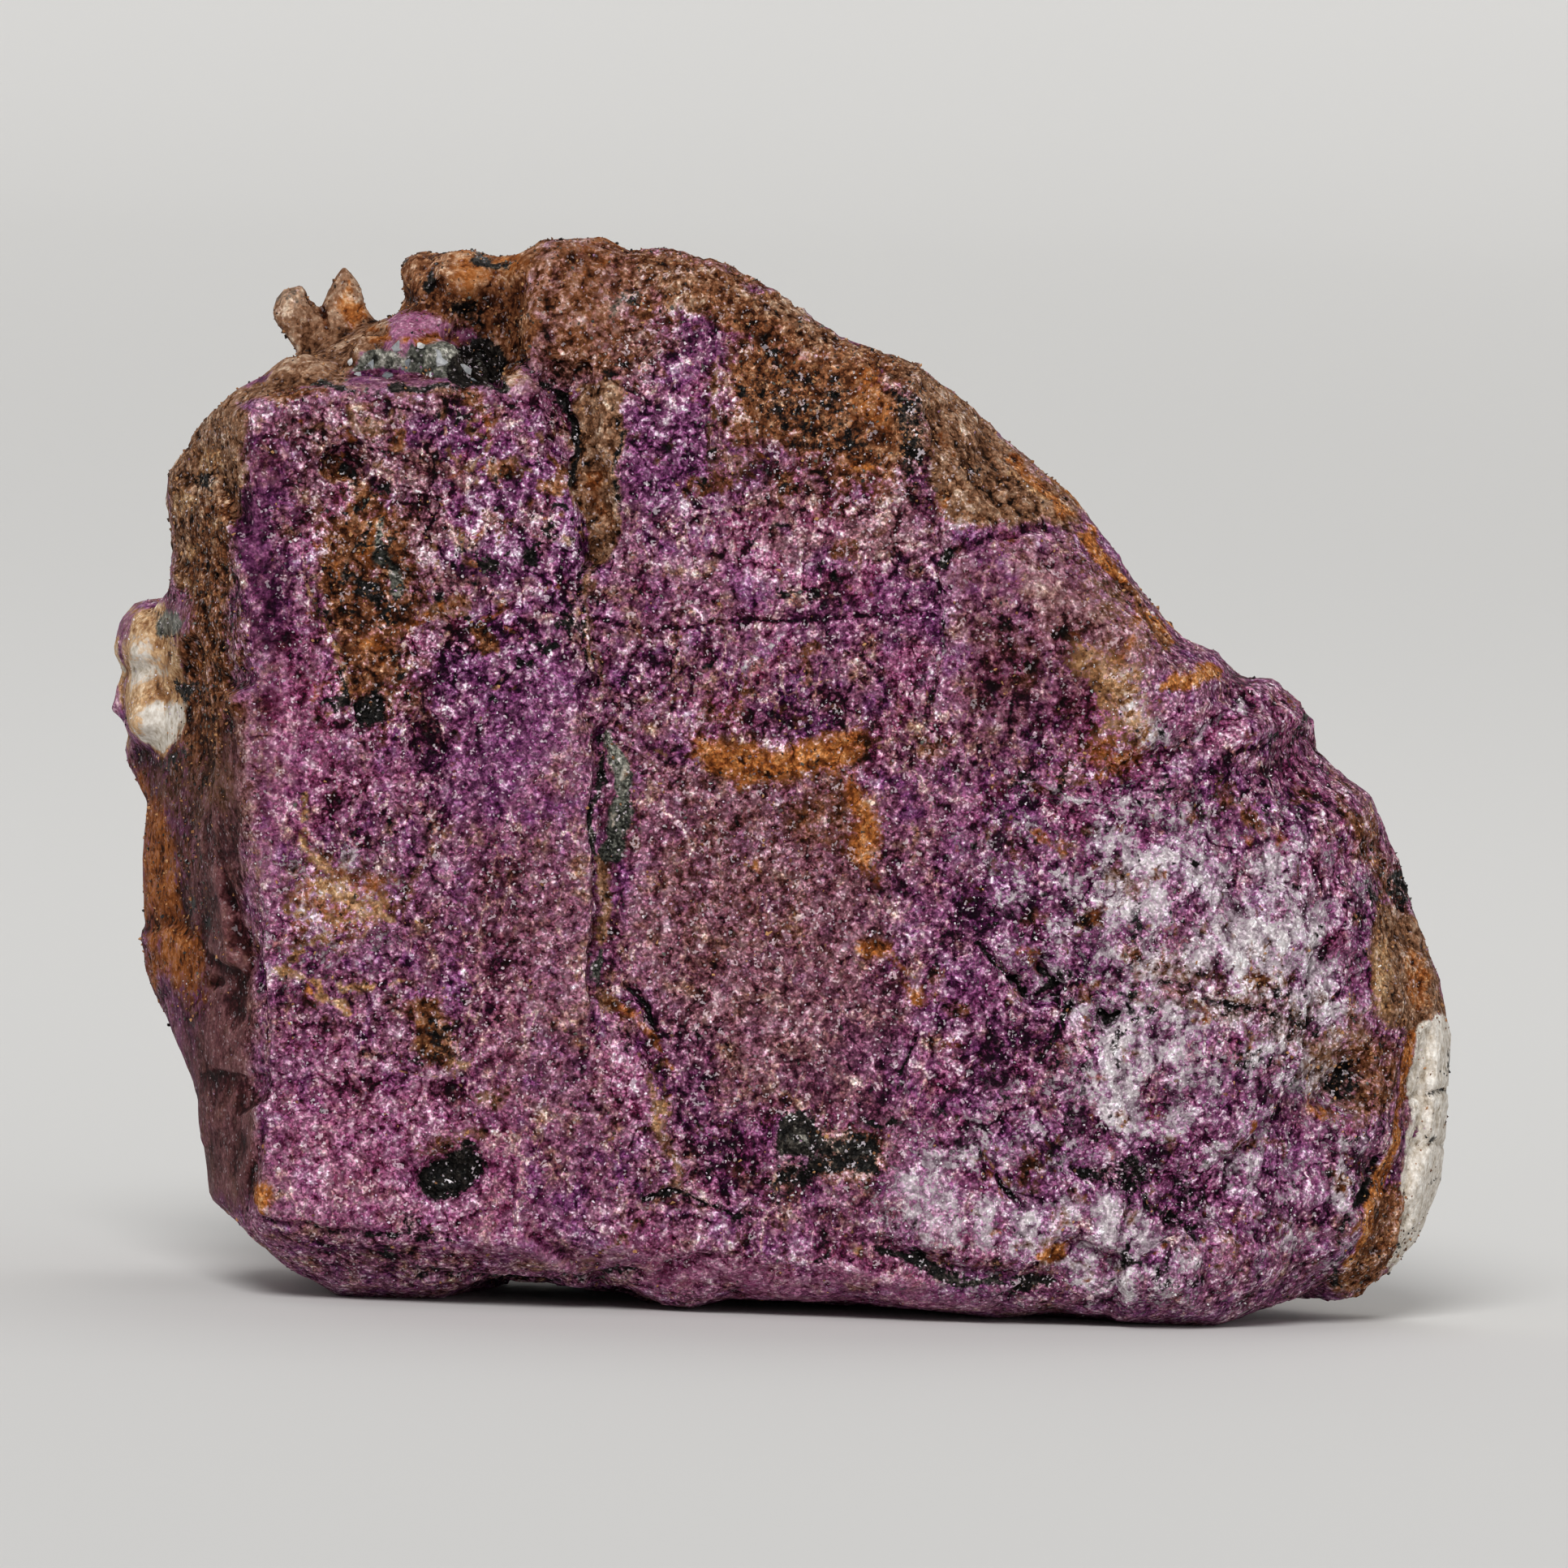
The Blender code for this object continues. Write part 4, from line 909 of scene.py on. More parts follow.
class Bench:
    """Adds nodes to one material's tree."""

    def __init__(self, name: str) -> None:
        """Starts a material of that name with an empty tree."""
        self.material = bpy.data.materials.new(name)
        self.material.use_nodes = True
        self.tree = self.material.node_tree
        self.tree.nodes.clear()

    def node(self, kind: str, settings: dict | None = None,
             sockets: dict | None = None) -> bpy.types.Node:
        """Adds a node.

        Args:
            kind: The node's type.
            settings: Its own settings, such as a Math node's operation, or a ramp's stops.
            sockets: Values or links of its sockets, by name or number.

        Returns:
            The node.
        """
        node = self.tree.nodes.new(kind)
        for name, value in (settings or {}).items():
            if name == "stops":
                self._set_stops(node, value)
            else:
                setattr(node, name, value)
        for name, value in (sockets or {}).items():
            if isinstance(value, Value):
                self.tree.links.new(value.socket, node.inputs[name])
            elif isinstance(value, bpy.types.NodeSocket):
                self.tree.links.new(value, node.inputs[name])
            else:
                node.inputs[name].default_value = value
        return node

    def _set_stops(self, node: bpy.types.Node, stops: tuple) -> None:
        """Sets a ramp's stops, each a place from 0 to 1 and a colour."""
        elements = node.color_ramp.elements
        while len(elements) < len(stops):
            elements.new(1.0)
        for element, (place, colour) in zip(elements, stops):
            element.position = place
            element.color = colour

    def attribute(self, name: str) -> Value:
        """The value of an attribute of the mesh."""
        node = self.node("ShaderNodeAttribute", {"attribute_name": name})
        return Value(self, node.outputs["Fac"])

    def noise(self, where: bpy.types.NodeSocket, size: float, detail: float = 2.0) -> Value:
        """Noise about 0, from -0.5 to 0.5, whose hills are about size apart."""
        sockets = {"Vector": where, "Scale": 1.0 / size, "Detail": detail, "Roughness": 0.6}
        node = self.node("ShaderNodeTexNoise", None, sockets)
        return Value(self, node.outputs["Fac"]) - 0.5

    def grains(self, where: bpy.types.NodeSocket, size: float) -> tuple[Value, Value]:
        """Packed grains: two numbers of each grain's own, from 0 to 1."""
        node = self.node("ShaderNodeTexVoronoi", None, {"Vector": where, "Scale": 1.0 / size})
        parts = self.node("ShaderNodeSeparateColor", None, {"Color": node.outputs["Color"]})
        return Value(self, parts.outputs["Red"]), Value(self, parts.outputs["Green"])

    def net(self, where: bpy.types.NodeSocket, size: float, width: float) -> Value:
        """1 on the lines of an uneven net with meshes of one size, and 0 off them."""
        shake = self.node("ShaderNodeTexNoise", None,
                          {"Vector": where, "Scale": 2.2 / size, "Detail": 3.0})
        shift = self.node("ShaderNodeVectorMath", {"operation": "SCALE"},
                          {0: shake.outputs["Color"], "Scale": size * 0.8})
        moved = self.node("ShaderNodeVectorMath", {"operation": "ADD"},
                          {0: where, 1: shift.outputs[0]})
        node = self.node("ShaderNodeTexVoronoi", {"feature": "DISTANCE_TO_EDGE"},
                         {"Vector": moved.outputs[0], "Scale": 1.0 / size})
        return (1.0 - Value(self, node.outputs["Distance"]) * (size / width)).clamped()

    def ramp(self, value: Value, stops: tuple) -> bpy.types.NodeSocket:
        """A colour for each number."""
        return self.node("ShaderNodeValToRGB", {"stops": stops}, {"Fac": value}).outputs["Color"]

    def mix(self, share: "Value | float", first: object, second: object,
            blend: str = "MIX") -> bpy.types.NodeSocket:
        """Mixes two colours, or a colour socket and a plain colour."""
        settings = {"data_type": "RGBA", "blend_type": blend, "clamp_factor": True,
                    "clamp_result": True}
        return self.node("ShaderNodeMix", settings, {0: share, 6: first, 7: second}).outputs[2]

    def blend(self, share: Value, first: "Value | float", second: "Value | float") -> Value:
        """The first number where share is 0, and the second where it is 1."""
        node = self.node("ShaderNodeMix", {"data_type": "FLOAT", "clamp_factor": True},
                         {0: share, 2: first, 3: second})
        return Value(self, node.outputs[0])

    def millimetres(self, stretch: tuple[float, ...] = (1.0, 1.0, 1.0)) -> bpy.types.NodeSocket:
        """The place on the part in millimetres, stretched along each axis."""
        place = self.node("ShaderNodeTexCoord").outputs["Object"]
        size = tuple(1000.0 * part for part in stretch)
        scaled = self.node("ShaderNodeVectorMath", {"operation": "MULTIPLY"}, {0: place, 1: size})
        return scaled.outputs[0]

    def finish(self, colour: object, roughness: object, normal: object,
               **others: object) -> bpy.types.Material:
        """Closes the tree with a Principled shader.

        Args:
            colour: The base colour, a link or a value.
            roughness: The roughness, a link or a value.
            normal: The bumped normal, or None.
            others: Values or links of the shader's other sockets, with _ for a space.

        Returns:
            The material.
        """
        sockets = {"Base Color": colour, "Roughness": roughness}
        if normal is not None:
            sockets["Normal"] = normal
        sockets.update({name.replace("_", " "): value for name, value in others.items()})
        shader = self.node("ShaderNodeBsdfPrincipled", None, sockets)
        self.node("ShaderNodeOutputMaterial", None, {"Surface": shader.outputs[0]})
        return self.material


def stops(*colours: tuple) -> tuple:
    """Evenly spaced ramp stops from screen colours."""
    span = len(colours) - 1
    return tuple((n / span, shade(*colour)) for n, colour in enumerate(colours))


class Recipe:
    """A number mixed from named textures: a start, and how much each texture adds to it."""

    def __init__(self, start: float, **weights: float) -> None:
        """Keeps the start and the weights."""
        self.start = start
        self.weights = weights

    def of(self, textures: dict[str, Value]) -> Value:
        """The number for these textures."""
        total = self.start
        for name, weight in self.weights.items():
            total = total + textures[name] * weight
        return total


@dataclass(frozen=True)
class StoneFinish:
    """The violet mineral with its crusts, stains and frosting.

    The sizes of the textures are in millimetres. Limits, gains and shares are numbers of 0 to 1
    unless the texture that they work on goes further.
    """

    name: str = "purpurite"
    grain_size: float = 0.11
    crumb_size: float = 0.30
    fine_size: float = 0.32
    mottle_size: float = 1.3
    cloud_size: float = 4.2
    hue_size: float = 1.5
    fibre_size: float = 0.26
    fibre_stretch: float = 0.6
    clump_size: float = 0.6
    thread_size: float = 0.6
    thread_gain: float = 5.0
    gap_power: float = 4.0
    crevice_size: float = 2.1
    crevice_width: float = 0.13
    filament_size: float = 1.3
    filament_width: float = 0.08
    smoothing: float = 0.6
    chalk_smoothing: float = 0.75
    jitter: Recipe = Recipe(0.5, own=0.12, crumb=0.3, fine=0.9, mottle=1.1, clump=0.5)
    grit: Recipe = Recipe(0.0, crumb=0.2, fine=1.2, fibre=0.4, mottle=0.55, clump=0.55,
                          wide_crevice=-0.3, filament=0.22, gap=-0.18)
    mixed_grit: float = 0.3
    # In tone and ground, cavity darkens hollows and lightens ridges: painted shade and painted light.
    tone: Recipe = Recipe(0.54, grit=1.0, cloud=0.5, cavity=-0.16, light=0.17, dark=-0.25)
    ground: Recipe = Recipe(0.47, crumb=0.3, fine=0.9, mottle=0.8, clump=0.7, cavity=-0.16,
                            crevice=-0.3, filament=0.15, fibre=0.3, dark=-0.12)
    web: Recipe = Recipe(0.26, threads=0.55, crumb=0.5, own=0.3, fibre=0.5, mottle=0.4, clump=0.9,
                         dark=0.3)
    relief: Recipe = Recipe(0.375, crumb=0.5, fine=1.4, fibre=0.8, clump=0.8, own=0.25)
    light_soft: float = 0.9
    dark_soft: float = 0.6
    tint_soft: float = 1.4
    tint_share: float = 0.8
    hue_gain: float = 3.0
    hue_grain: float = 0.35
    hue_slope: float = 2.4
    hue_gap: float = 0.22
    rust_slope: float = 3.4
    rust_gap: float = 1.5
    rust_share: float = 0.8
    filament_share: float = 0.6
    frost_tint: float = 1.8
    frost_tint_share: float = 0.65
    haze_frost: float = 1.9
    haze_jitter: float = 0.9
    haze_gain: float = 1.1
    haze_share: float = 0.85
    haze_lift: float = 0.08
    white_frost: float = 1.05
    white_gain: float = 4.0
    chalk_share: float = 0.55
    chalk_ground: float = 0.62
    chalk_streaks: float = 2.2
    roughness: float = 0.72
    grain_gloss: float = 0.1
    # The sheen scales each grain's colour by its own number, most on glossy grains: partly real grain
    # tone, partly painted glitter.
    dull_roughness: float = 1.25
    painted_glitter_gain: float = 1.7
    painted_glitter_under_frost: float = 0.4
    painted_sheen_gain: float = 1.6
    painted_sheen_middle: float = 0.52
    # The spark settings lay near-white dots on a few grains: painted glints.
    painted_glint_limit: float = 0.965
    painted_glint_share: float = 0.5
    painted_crumb_glint_limit: float = 0.95
    painted_crumb_glint_own: float = 0.6
    painted_crumb_glint_share: float = 0.35
    painted_glint_colour: tuple = (236, 220, 228)
    glint_limit: float = 0.93
    glint_coat: float = 0.5
    glint_roughness: float = 0.18
    specular: float = 0.06
    bump_strength: float = 0.8
    bump_depth: float = 0.00012
    purple: tuple = stops((18, 0, 8), (56, 14, 34), (102, 54, 78), (132, 82, 106), (166, 118, 142),
                          (226, 190, 206))
    violet: tuple = stops((18, 0, 16), (50, 10, 44), (88, 38, 78), (120, 66, 108), (154, 110, 146),
                          (218, 194, 214))
    magenta: tuple = stops((24, 0, 9), (74, 14, 42), (122, 56, 90), (150, 88, 120), (182, 128, 152),
                           (228, 194, 210))
    mauve: tuple = stops((14, 3, 2), (56, 24, 22), (102, 64, 60), (130, 94, 88), (166, 132, 124),
                         (224, 198, 186))
    lilac: tuple = stops((16, 5, 12), (62, 34, 50), (104, 74, 92), (140, 112, 130), (180, 158, 174),
                         (232, 222, 230))
    bloom: tuple = stops((110, 90, 102), (172, 156, 164), (214, 204, 206), (248, 244, 244))
    rust: tuple = stops((8, 3, 1), (44, 18, 8), (90, 50, 28), (126, 80, 52), (168, 122, 90),
                        (222, 188, 158))
    tan: tuple = stops((16, 7, 3), (68, 40, 24), (112, 76, 54), (142, 106, 82), (172, 140, 116),
                       (216, 192, 168))
    ochre: tuple = stops((34, 14, 4), (104, 52, 22), (156, 92, 44), (194, 132, 80), (234, 188, 142))
    cream: tuple = stops((70, 40, 24), (140, 98, 64), (198, 160, 120), (240, 216, 186))
    slate: tuple = stops((12, 12, 10), (50, 50, 45), (92, 92, 84), (140, 138, 128), (212, 210, 200))
    chalk: tuple = stops((92, 74, 58), (184, 172, 156), (222, 214, 204), (246, 242, 234))
    oxide: tuple = stops((3, 2, 2), (12, 10, 9), (26, 22, 20), (54, 50, 45), (128, 124, 116))

    def build(self) -> bpy.types.Material:
        """Makes the material."""
        bench = Bench(self.name)
        textures = self.textures(bench)
        colour = self.mineral(bench, textures)
        colour, white = self.frosted(bench, textures, colour)
        colour, rough = self.crusted(bench, textures, colour)
        own, calm = textures["own"] + 0.5, textures["calm"]
        # Each grain's colour scaled up or down, more where the surface is glossy: partly grain tone,
        # partly painted glitter.
        painted_glitter = calm * (self.dull_roughness - rough) * self.painted_glitter_gain
        painted_sheen = own * own * self.painted_sheen_gain - self.painted_sheen_middle
        painted_sheen = 1.0 + painted_sheen * (painted_glitter - white * self.painted_glitter_under_frost)
        colour = bench.mix(1.0, colour, painted_sheen, "MULTIPLY")
        # Near-white dots on a few grains and crumbs, most where glossy: painted glints.
        painted_glint = textures["other"].above(self.painted_glint_limit) * own * self.painted_glint_share
        painted_crumb_glint = (textures["third"].above(self.painted_crumb_glint_limit) * own).above(self.painted_crumb_glint_own)
        painted_glint = (painted_glint + painted_crumb_glint * self.painted_crumb_glint_share) * painted_glitter
        colour = bench.mix(painted_glint, colour, shade(*self.painted_glint_colour))
        height = self.relief.of(textures) * calm
        sockets = {"Height": height, "Strength": self.bump_strength, "Distance": self.bump_depth}
        bump = bench.node("ShaderNodeBump", None, sockets)
        glint = textures["other"].above(self.glint_limit) * calm * self.glint_coat
        return bench.finish(colour, rough, bump.outputs["Normal"], Specular_IOR_Level=self.specular,
                            Coat_Weight=glint, Coat_Roughness=self.glint_roughness)

    def textures(self, bench: Bench) -> dict[str, Value]:
        """The textures and painted covers that the recipes mix, each about 0 or from 0 to 1."""
        where = bench.millimetres()
        along = bench.millimetres((1.0, 1.0, self.fibre_stretch))
        own, other = bench.grains(where, self.grain_size)
        crumb, third = bench.grains(where, self.crumb_size)
        mottle = bench.noise(where, self.mottle_size, 3.0)
        cloud = bench.noise(where, self.cloud_size, 2.0)
        threads = (bench.noise(where, self.thread_size, 2.0).size() * self.thread_gain).clamped()
        still = bench.attribute(CALM.value) * self.smoothing
        still = (still + bench.attribute(CHALK.value) * self.chalk_smoothing).clamped()
        mixed = bench.attribute(MIXED.value)
        crevice = bench.net(where, self.crevice_size, self.crevice_width)
        crevice = crevice * ((cloud + mottle) * 7.0 + 0.1 + mixed * 0.5).clamped()
        filament = bench.net(along, self.filament_size, self.filament_width)
        filament = filament * ((mottle - cloud) * 8.0 + mixed * 0.3).clamped()
        textures = {
            "own": own - 0.5, "other": other, "crumb": crumb - 0.5, "third": third,
            "fine": bench.noise(where, self.fine_size, 3.0), "mottle": mottle, "cloud": cloud,
            "fibre": bench.noise(along, self.fibre_size, 2.0),
            "clump": bench.noise(where, self.clump_size, 3.0), "threads": threads,
            "gap": (1.0 - threads) ** self.gap_power, "crevice": crevice,
            "wide_crevice": crevice * (mixed * 0.5 + 1.0), "filament": filament,
            "cavity": bench.attribute("cavity"), "calm": 1.0 - still,
            "hue": bench.noise(where, self.hue_size, 3.0) * self.hue_gain,
        }
        textures["jitter"] = self.jitter.of(textures).clamped()
        textures["light"] = self.dithered(bench, textures, LIGHT, self.light_soft)
        textures["dark"] = self.dithered(bench, textures, DARK, self.dark_soft)
        grit = self.grit.of(textures) * textures["calm"]
        textures["grit"] = grit * (mixed * self.mixed_grit + 1.0)
        textures["tone"] = self.tone.of(textures).clamped()
        streaks = self.chalk_ground + textures["fibre"] * self.chalk_streaks
        chalk = bench.attribute(CHALK.value) * self.chalk_share
        textures["ground"] = bench.blend(chalk, self.ground.of(textures), streaks).clamped()
        return textures

    def mineral(self, bench: Bench, textures: dict[str, Value]) -> bpy.types.NodeSocket:
        """The bare mineral's colour: purple that drifts to mauve, violet and rust."""
        tone, calm = textures["tone"], textures["calm"]
        hue = textures["hue"] + (textures["third"] - 0.5) * self.hue_grain
        reddish = (hue * self.hue_slope - self.hue_gap).clamped()
        bluish = (hue * -self.hue_slope - self.hue_gap).clamped()
        rusty = (hue * self.rust_slope - self.rust_gap).clamped() * self.rust_share * calm
        drifts = [
            (reddish, self.mauve), (bluish, self.violet), (rusty, self.rust),
            (textures["filament"] * self.filament_share * calm, self.tan),
        ]
        for paint, tones in ((MAUVE, self.mauve), (MAGENTA, self.magenta), (VIOLET, self.violet)):
            share = self.dithered(bench, textures, paint, self.tint_soft) * self.tint_share
            drifts.append((share, tones))
        colour = bench.ramp(tone, self.purple)
        for share, tones in drifts:
            colour = bench.mix(share, colour, bench.ramp(tone, tones))
        return colour

    def frosted(self, bench: Bench, textures: dict[str, Value],
                colour: bpy.types.NodeSocket) -> tuple[bpy.types.NodeSocket, Value]:
        """The colour under a lilac haze with white grains in it, and how white it is."""
        tone, frost = textures["tone"], bench.attribute(BLOOM.value)
        tint = (frost * self.frost_tint).clamped() * self.frost_tint_share
        colour = bench.mix(tint, colour, bench.ramp(tone, self.violet))
        haze = frost * self.haze_frost - textures["jitter"] * self.haze_jitter
        haze = (haze * self.haze_gain).clamped()
        tones = bench.ramp(tone + haze * self.haze_lift, self.lilac)
        colour = bench.mix(haze * self.haze_share, colour, tones)
        white = frost * self.white_frost - self.web.of(textures).clamped()
        white = (white * self.white_gain).clamped()
        return bench.mix(white, colour, bench.ramp(textures["ground"], self.bloom)), white

    def crusted(self, bench: Bench, textures: dict[str, Value],
                colour: bpy.types.NodeSocket) -> tuple[bpy.types.NodeSocket, Value]:
        """The colour under its crusts, and the roughness."""
        rough = self.roughness - (textures["own"] + 0.5) * self.grain_gloss
        crusts = (
            (TAN, self.tan, 0.5, 0.85), (RUST, self.rust, 0.45, 0.8), (OCHRE, self.ochre, 0.45, 0.85),
            (CREAM, self.cream, 0.4, 0.75), (SLATE, self.slate, 0.4, 0.36),
            (CHALK, self.chalk, 0.3, 0.8), (OXIDE, self.oxide, 0.35, 0.4),
        )
        for paint, tones, soft, crust_roughness in crusts:
            share = self.dithered(bench, textures, paint, soft)
            colour = bench.mix(share, colour, bench.ramp(textures["ground"], tones))
            rough = bench.blend(share, rough, crust_roughness)
        return colour, rough

    def dithered(self, bench: Bench, textures: dict[str, Value], paint: Paint, soft: float) -> Value:
        """A mark's cover broken up into grains, with soft the width of their edges."""
        share = bench.attribute(paint.value) * (1.0 + soft) - textures["jitter"]
        return (share * (1.0 / soft)).clamped()


@dataclass(frozen=True)
class GrainFinish:
    """A loose grain's finish: its own tone picks a colour from the stops."""

    name: str
    colours: tuple
    roughness: float = 0.5
    gloss_spread: float = 0.2
    fleck: float = 0.1
    transmission: float = 0.0
    fleck_share: float = 0.7
    specular: float = 0.5
    bump_strength: float = 0.3
    bump_depth: float = 0.00003

    def build(self) -> bpy.types.Material:
        """Makes the material."""
        bench = Bench(self.name)
        where = bench.millimetres()
        tone = bench.attribute("grain_tone")
        tone = tone + bench.noise(where, self.fleck, 2.0) * self.fleck_share
        colour = bench.ramp(tone.clamped(), self.colours)
        rough = self.roughness + (bench.attribute("grain_tone") - 0.5) * self.gloss_spread
        height = bench.noise(where, self.fleck * 1.5, 2.0)
        sockets = {"Height": height, "Strength": self.bump_strength, "Distance": self.bump_depth}
        bump = bench.node("ShaderNodeBump", None, sockets)
        fixed = {"Transmission_Weight": self.transmission} if self.transmission else {}
        return bench.finish(colour, rough, bump.outputs["Normal"], Specular_IOR_Level=self.specular,
                            **fixed)


def link_mesh(name: str, mesh: bpy.types.Mesh) -> bpy.types.Object:
    """Puts a mesh in the scene as an object at the origin."""
    piece = bpy.data.objects.new(name, mesh)
    bpy.context.scene.collection.objects.link(piece)
    return piece


def applied(piece: bpy.types.Object) -> bpy.types.Mesh:
    """The piece's mesh with its modifiers worked out, which are then removed."""
    depsgraph = bpy.context.evaluated_depsgraph_get()
    mesh = bpy.data.meshes.new_from_object(piece.evaluated_get(depsgraph))
    piece.modifiers.clear()
    return mesh


def vertex_places(mesh: bpy.types.Mesh) -> np.ndarray:
    """The mesh's vertices, one a row."""
    places = np.zeros(len(mesh.vertices) * 3, np.float32)
    mesh.vertices.foreach_get("co", places)
    return places.reshape(-1, 3).astype(float)


def vertex_normals(mesh: bpy.types.Mesh) -> np.ndarray:
    """The directions in which the mesh's vertices face, one a row."""
    normals = np.zeros(len(mesh.vertices) * 3, np.float32)
    mesh.vertices.foreach_get("normal", normals)
    return normals.reshape(-1, 3).astype(float)


def edge_ends(mesh: bpy.types.Mesh) -> np.ndarray:
    """The two vertices of each edge, one edge a row."""
    ends = np.zeros(len(mesh.edges) * 2, np.int32)
    mesh.edges.foreach_get("vertices", ends)
    return ends.reshape(-1, 2)


def neighbour_mean(values: np.ndarray, ends: np.ndarray) -> np.ndarray:
    """The mean of each vertex's neighbours, for one or more values a vertex."""
    first, second = ends[:, 0], ends[:, 1]
    count = np.bincount(ends.ravel(), minlength=len(values)).astype(float)
    columns = values.reshape(len(values), -1)
    means = np.empty_like(columns)
    for n in range(columns.shape[1]):
        total = np.bincount(first, columns[second, n], len(values))
        total += np.bincount(second, columns[first, n], len(values))
        means[:, n] = total / np.maximum(count, 1)
    return means.reshape(values.shape)


def settle_order(mesh: bpy.types.Mesh) -> bpy.types.Mesh:
    """Renumbers a skin of four-cornered faces by place, so that every run gives the same mesh."""
    places = vertex_places(mesh)
    corners = np.zeros(len(mesh.polygons) * 4, np.int32)
    mesh.loops.foreach_get("vertex_index", corners)
    faces = corners.reshape(-1, 4)
    order = np.lexsort((places[:, 2], places[:, 1], places[:, 0]))
    rank = np.empty(len(order), np.int64)
    rank[order] = np.arange(len(order))
    faces = rank[faces]
    turns = (faces.argmin(1)[:, None] + np.arange(4)) % 4
    faces = np.take_along_axis(faces, turns, axis=1)
    faces = faces[np.lexsort(faces.T[::-1])]
    settled = bpy.data.meshes.new(mesh.name)
    settled.from_pydata(places[order], [], faces)
    settled.update()
    bpy.data.meshes.remove(mesh)
    return settled


@dataclass(frozen=True)
class Drift:
    """Paint that noise lays: its hills' size in millimetres, and how high they start and fill it."""

    paint: Paint
    size: float
    start: float
    full: float
    strength: float

    def share(self, places: np.ndarray, seed: int) -> np.ndarray:
        """How thick it lies on each place."""
        hills = StoneNoise(seed).rough(places, self.size * MILLIMETRE, 4)
        return smooth_rise(hills, self.start, self.full) * self.strength


@dataclass(frozen=True)
class Thread:
    """Paint along thin broken lines: their spacing in millimetres, and their width in noise."""

    paint: Paint
    size: float
    width: float
    strength: float

    def share(self, places: np.ndarray, seed: int) -> np.ndarray:
        """How thick it lies on each place."""
        noise = StoneNoise(seed)
        size = self.size * MILLIMETRE
        ridge = np.abs(noise.rough(places, size, 4))
        gaps = noise.smooth(places + size, 1.4 * self.size * MILLIMETRE)
        broken = smooth_rise(gaps, -0.1, 0.3)
        return (1.0 - smooth_rise(ridge, self.width * 0.4, self.width * 1.6)) * broken * self.strength


SPECKS = (
    Drift(RUST, 1.6, 0.40, 0.74, 0.72), Drift(TAN, 1.2, 0.40, 0.80, 0.60),
    Drift(DARK, 1.0, 0.24, 0.56, 0.95), Drift(LIGHT, 1.5, 0.16, 0.56, 0.95),
    Drift(MAGENTA, 2.2, 0.15, 0.50, 0.90), Drift(OXIDE, 0.9, 0.54, 0.84, 0.75),
    Drift(OCHRE, 1.0, 0.62, 0.90, 0.60), Drift(VIOLET, 2.0, 0.20, 0.50, 0.90),
)
THREADS = (
    Thread(DARK, 3.1, 0.045, 1.0), Thread(OXIDE, 4.3, 0.022, 0.75),
    Thread(TAN, 2.7, 0.030, 0.80), Thread(CREAM, 3.7, 0.020, 0.60),
)
HIDDEN_SIDES = (
    Drift(VIOLET, 7.0, 0.05, 0.55, 0.8), Drift(MAGENTA, 6.0, 0.15, 0.6, 0.7),
    Drift(MAUVE, 9.0, -0.1, 0.6, 0.8), Drift(LIGHT, 4.0, 0.1, 0.7, 0.8),
    Drift(DARK, 3.4, 0.2, 0.8, 0.8), Drift(RUST, 8.0, 0.22, 0.6, 0.85),
    Drift(TAN, 10.0, 0.2, 0.6, 0.8), Drift(OCHRE, 5.0, 0.5, 0.85, 0.8),
    Drift(OXIDE, 3.0, 0.55, 0.9, 0.8), Drift(BLOOM, 6.5, 0.3, 0.8, 0.7),
    Drift(CREAM, 4.5, 0.6, 0.95, 0.8), Drift(CALM, 8.0, 0.1, 0.7, 0.4),
)
FIRST_SPECK_SEED = 200
FIRST_THREAD_SEED = 220
FIRST_HIDDEN_SEED = 100


